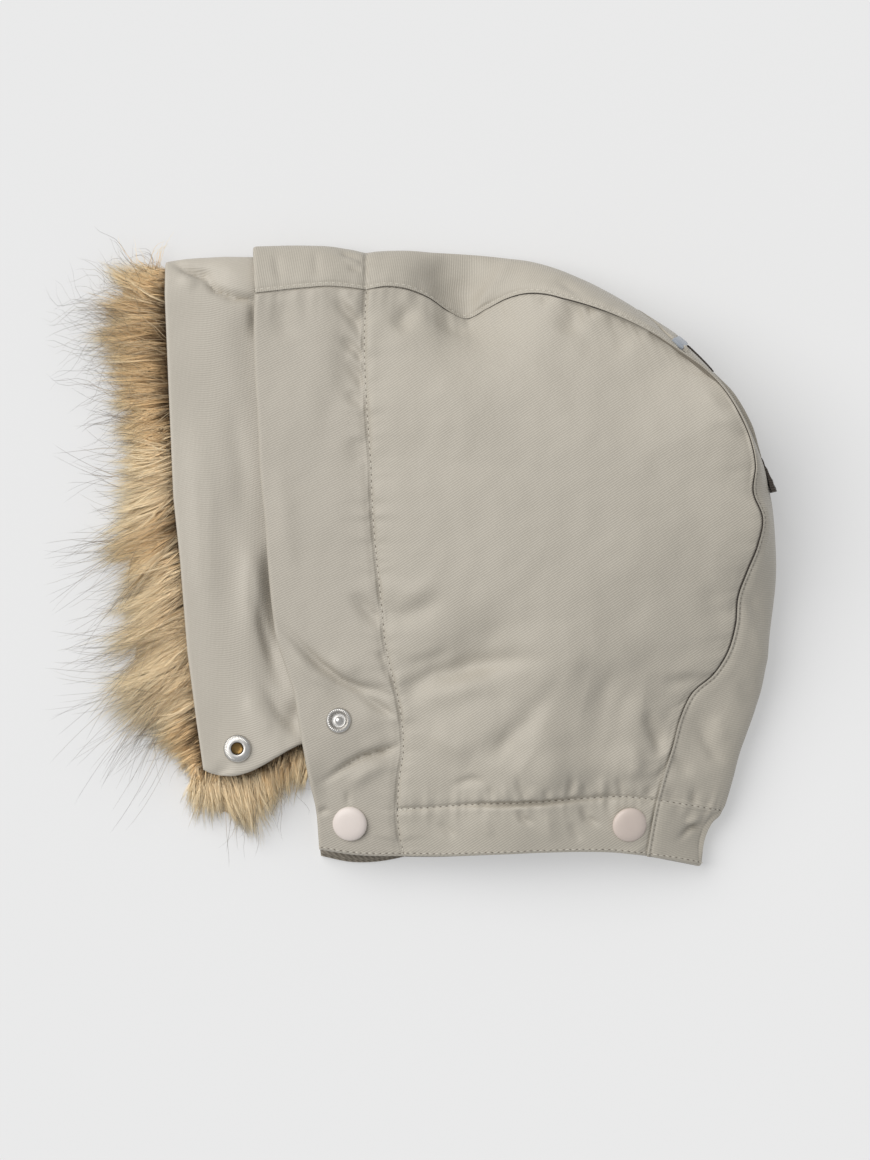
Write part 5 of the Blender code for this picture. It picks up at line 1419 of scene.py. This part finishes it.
def buildUnderfur():
    cut, made, rng = underfurCut, [], random.Random(5)
    centre = bandCut["middle"]
    for zone in ("side", "end"):
        count, over, under = cut[zone]["rows"], [], []
        for k in range(count + 1):
            share = k / count
            inside, root, angle, length = underfurRoot(zone, cut[zone]["from"] + share * cut[zone]["run"])
            wave = cut["length"] + cut["wave"] * noise.noise(Vector((share * count / 6.0, 3.0, 0)))
            wave += cut["rough"] * rng.uniform(-1, 1)
            high, low = [], []
            for point in inside:
                into = max(0.0, (point.y - bandCut["foldCentre"]) / cut["foldReach"])
                squeeze = math.sqrt(max(0.05, 1 - into * into))
                floor = bandUnder(point.x) + cut["insideLow"]
                high.append(Vector((point.x, point.y, centre + (cut["insideHigh"] - centre) * squeeze)))
                low.append(Vector((point.x, point.y, centre + (floor - centre) * squeeze)))
            for along, lift in cut["profile"]:
                place = root + heading(angle) * (length * wave * along)
                height = cut[zone]["high"] * lift * (1 + cut["roughTop"] * rng.uniform(-1, 1))
                high.append(Vector((place.x, place.y, height)))
                low.append(Vector((place.x, place.y, cut["floor"] if along > 0 else cut["foot"])))
            over.append(high)
            under.append(low)
        columns, total = len(over[0]), len(over) * len(over[0])
        points = [placed(point) for row in over + under for point in row]
        maps = [(i * 0.0016, max(0, j - 2) * 0.007) for i in range(len(over) * 2) for j in range(columns)]
        faces = []
        for i in range(len(over) - 1):
            for j in range(columns - 1):
                a, b = i * columns + j, i * columns + j + 1
                c, d = b + columns, a + columns
                faces += [(a, b, c, d), (d + total, c + total, b + total, a + total)]
        last = (len(over) - 1) * columns
        rim = list(range(columns - 1)) + [i + columns - 1 for i in range(0, last, columns)]
        rim += [last + j for j in range(columns - 1, 0, -1)] + [i for i in range(last, 0, -columns)]
        faces += [(b, a, a + total, b + total) for a, b in zip(rim, rim[1:] + rim[:1])]
        piece = meshPiece(cut[zone]["piece"], points, faces, "underfur", "fur", maps)
        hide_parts(cut[zone]["node"])
        made.append(piece)
    return made


furPieces = buildFur() + buildUnderfur()
print("fur made", len(furPieces))

# Floor, light and camera; lengths are in millimetres
stageLook = {
    "floor": 0.49, "glow": 0.325, "floorDrop": 0.2, "sky": (0.955, 0.975, 1.0, 1.0), "skyPower": 0.49,
    "sunPower": 2.31, "sunWidth": 60.0, "sunColor": (1.0, 0.985, 0.965), "sunFrom": (-0.98, 0.62, 1.28),
    "lens": 500.0, "sensor": 36.0, "viewed": 498.8, "viewCentre": (7.74, -10.3, 0.0),
}


def buildStage():
    look = stageLook
    bpy.ops.object.select_all(action="DESELECT")
    bpy.ops.mesh.primitive_plane_add(size=8.0, location=(0, 0, 0))
    floor = bpy.context.object
    floor.name = "floor"
    for vertex in floor.data.vertices:
        vertex.co.z = -look["floorDrop"] * mm
    paint = Paint("paleFloor")
    dull, pale = (look["floor"] * 0.99,) * 3, (look["floor"],) * 3
    color = paint.blend(paint.noise(paint.body, 2.0, 2.0), dull, pale)
    floor.data.materials.append(paint.finish(Base_Color=color, Roughness=0.9, Specular_IOR_Level=0.1,
                                             Emission_Color=(1.0, 1.0, 1.0), Emission_Strength=look["glow"]))
    world = bpy.data.worlds.new("studio")
    bpy.context.scene.world = world
    world.use_nodes = True
    sky = world.node_tree.nodes["Background"]
    sky.inputs["Color"].default_value = look["sky"]
    sky.inputs["Strength"].default_value = look["skyPower"]
    light = bpy.data.lights.new("softSun", "SUN")
    light.energy, light.angle = look["sunPower"], math.radians(look["sunWidth"])
    light.color = look["sunColor"]
    sun = linked("softSun", light)
    sun.rotation_euler = Vector(look["sunFrom"]).to_track_quat("Z", "Y").to_euler()
    lens = bpy.data.cameras.new("camera")
    lens.lens, lens.sensor_width, lens.clip_end = look["lens"], look["sensor"], 100.0
    camera = linked("camera", lens)
    camera.location = placed(Vector(look["viewCentre"]))
    camera.location.z = look["lens"] / look["sensor"] * look["viewed"] * mm
    bpy.context.scene.camera = camera
    bpy.context.scene.view_settings.view_transform = "Standard"


buildStage()
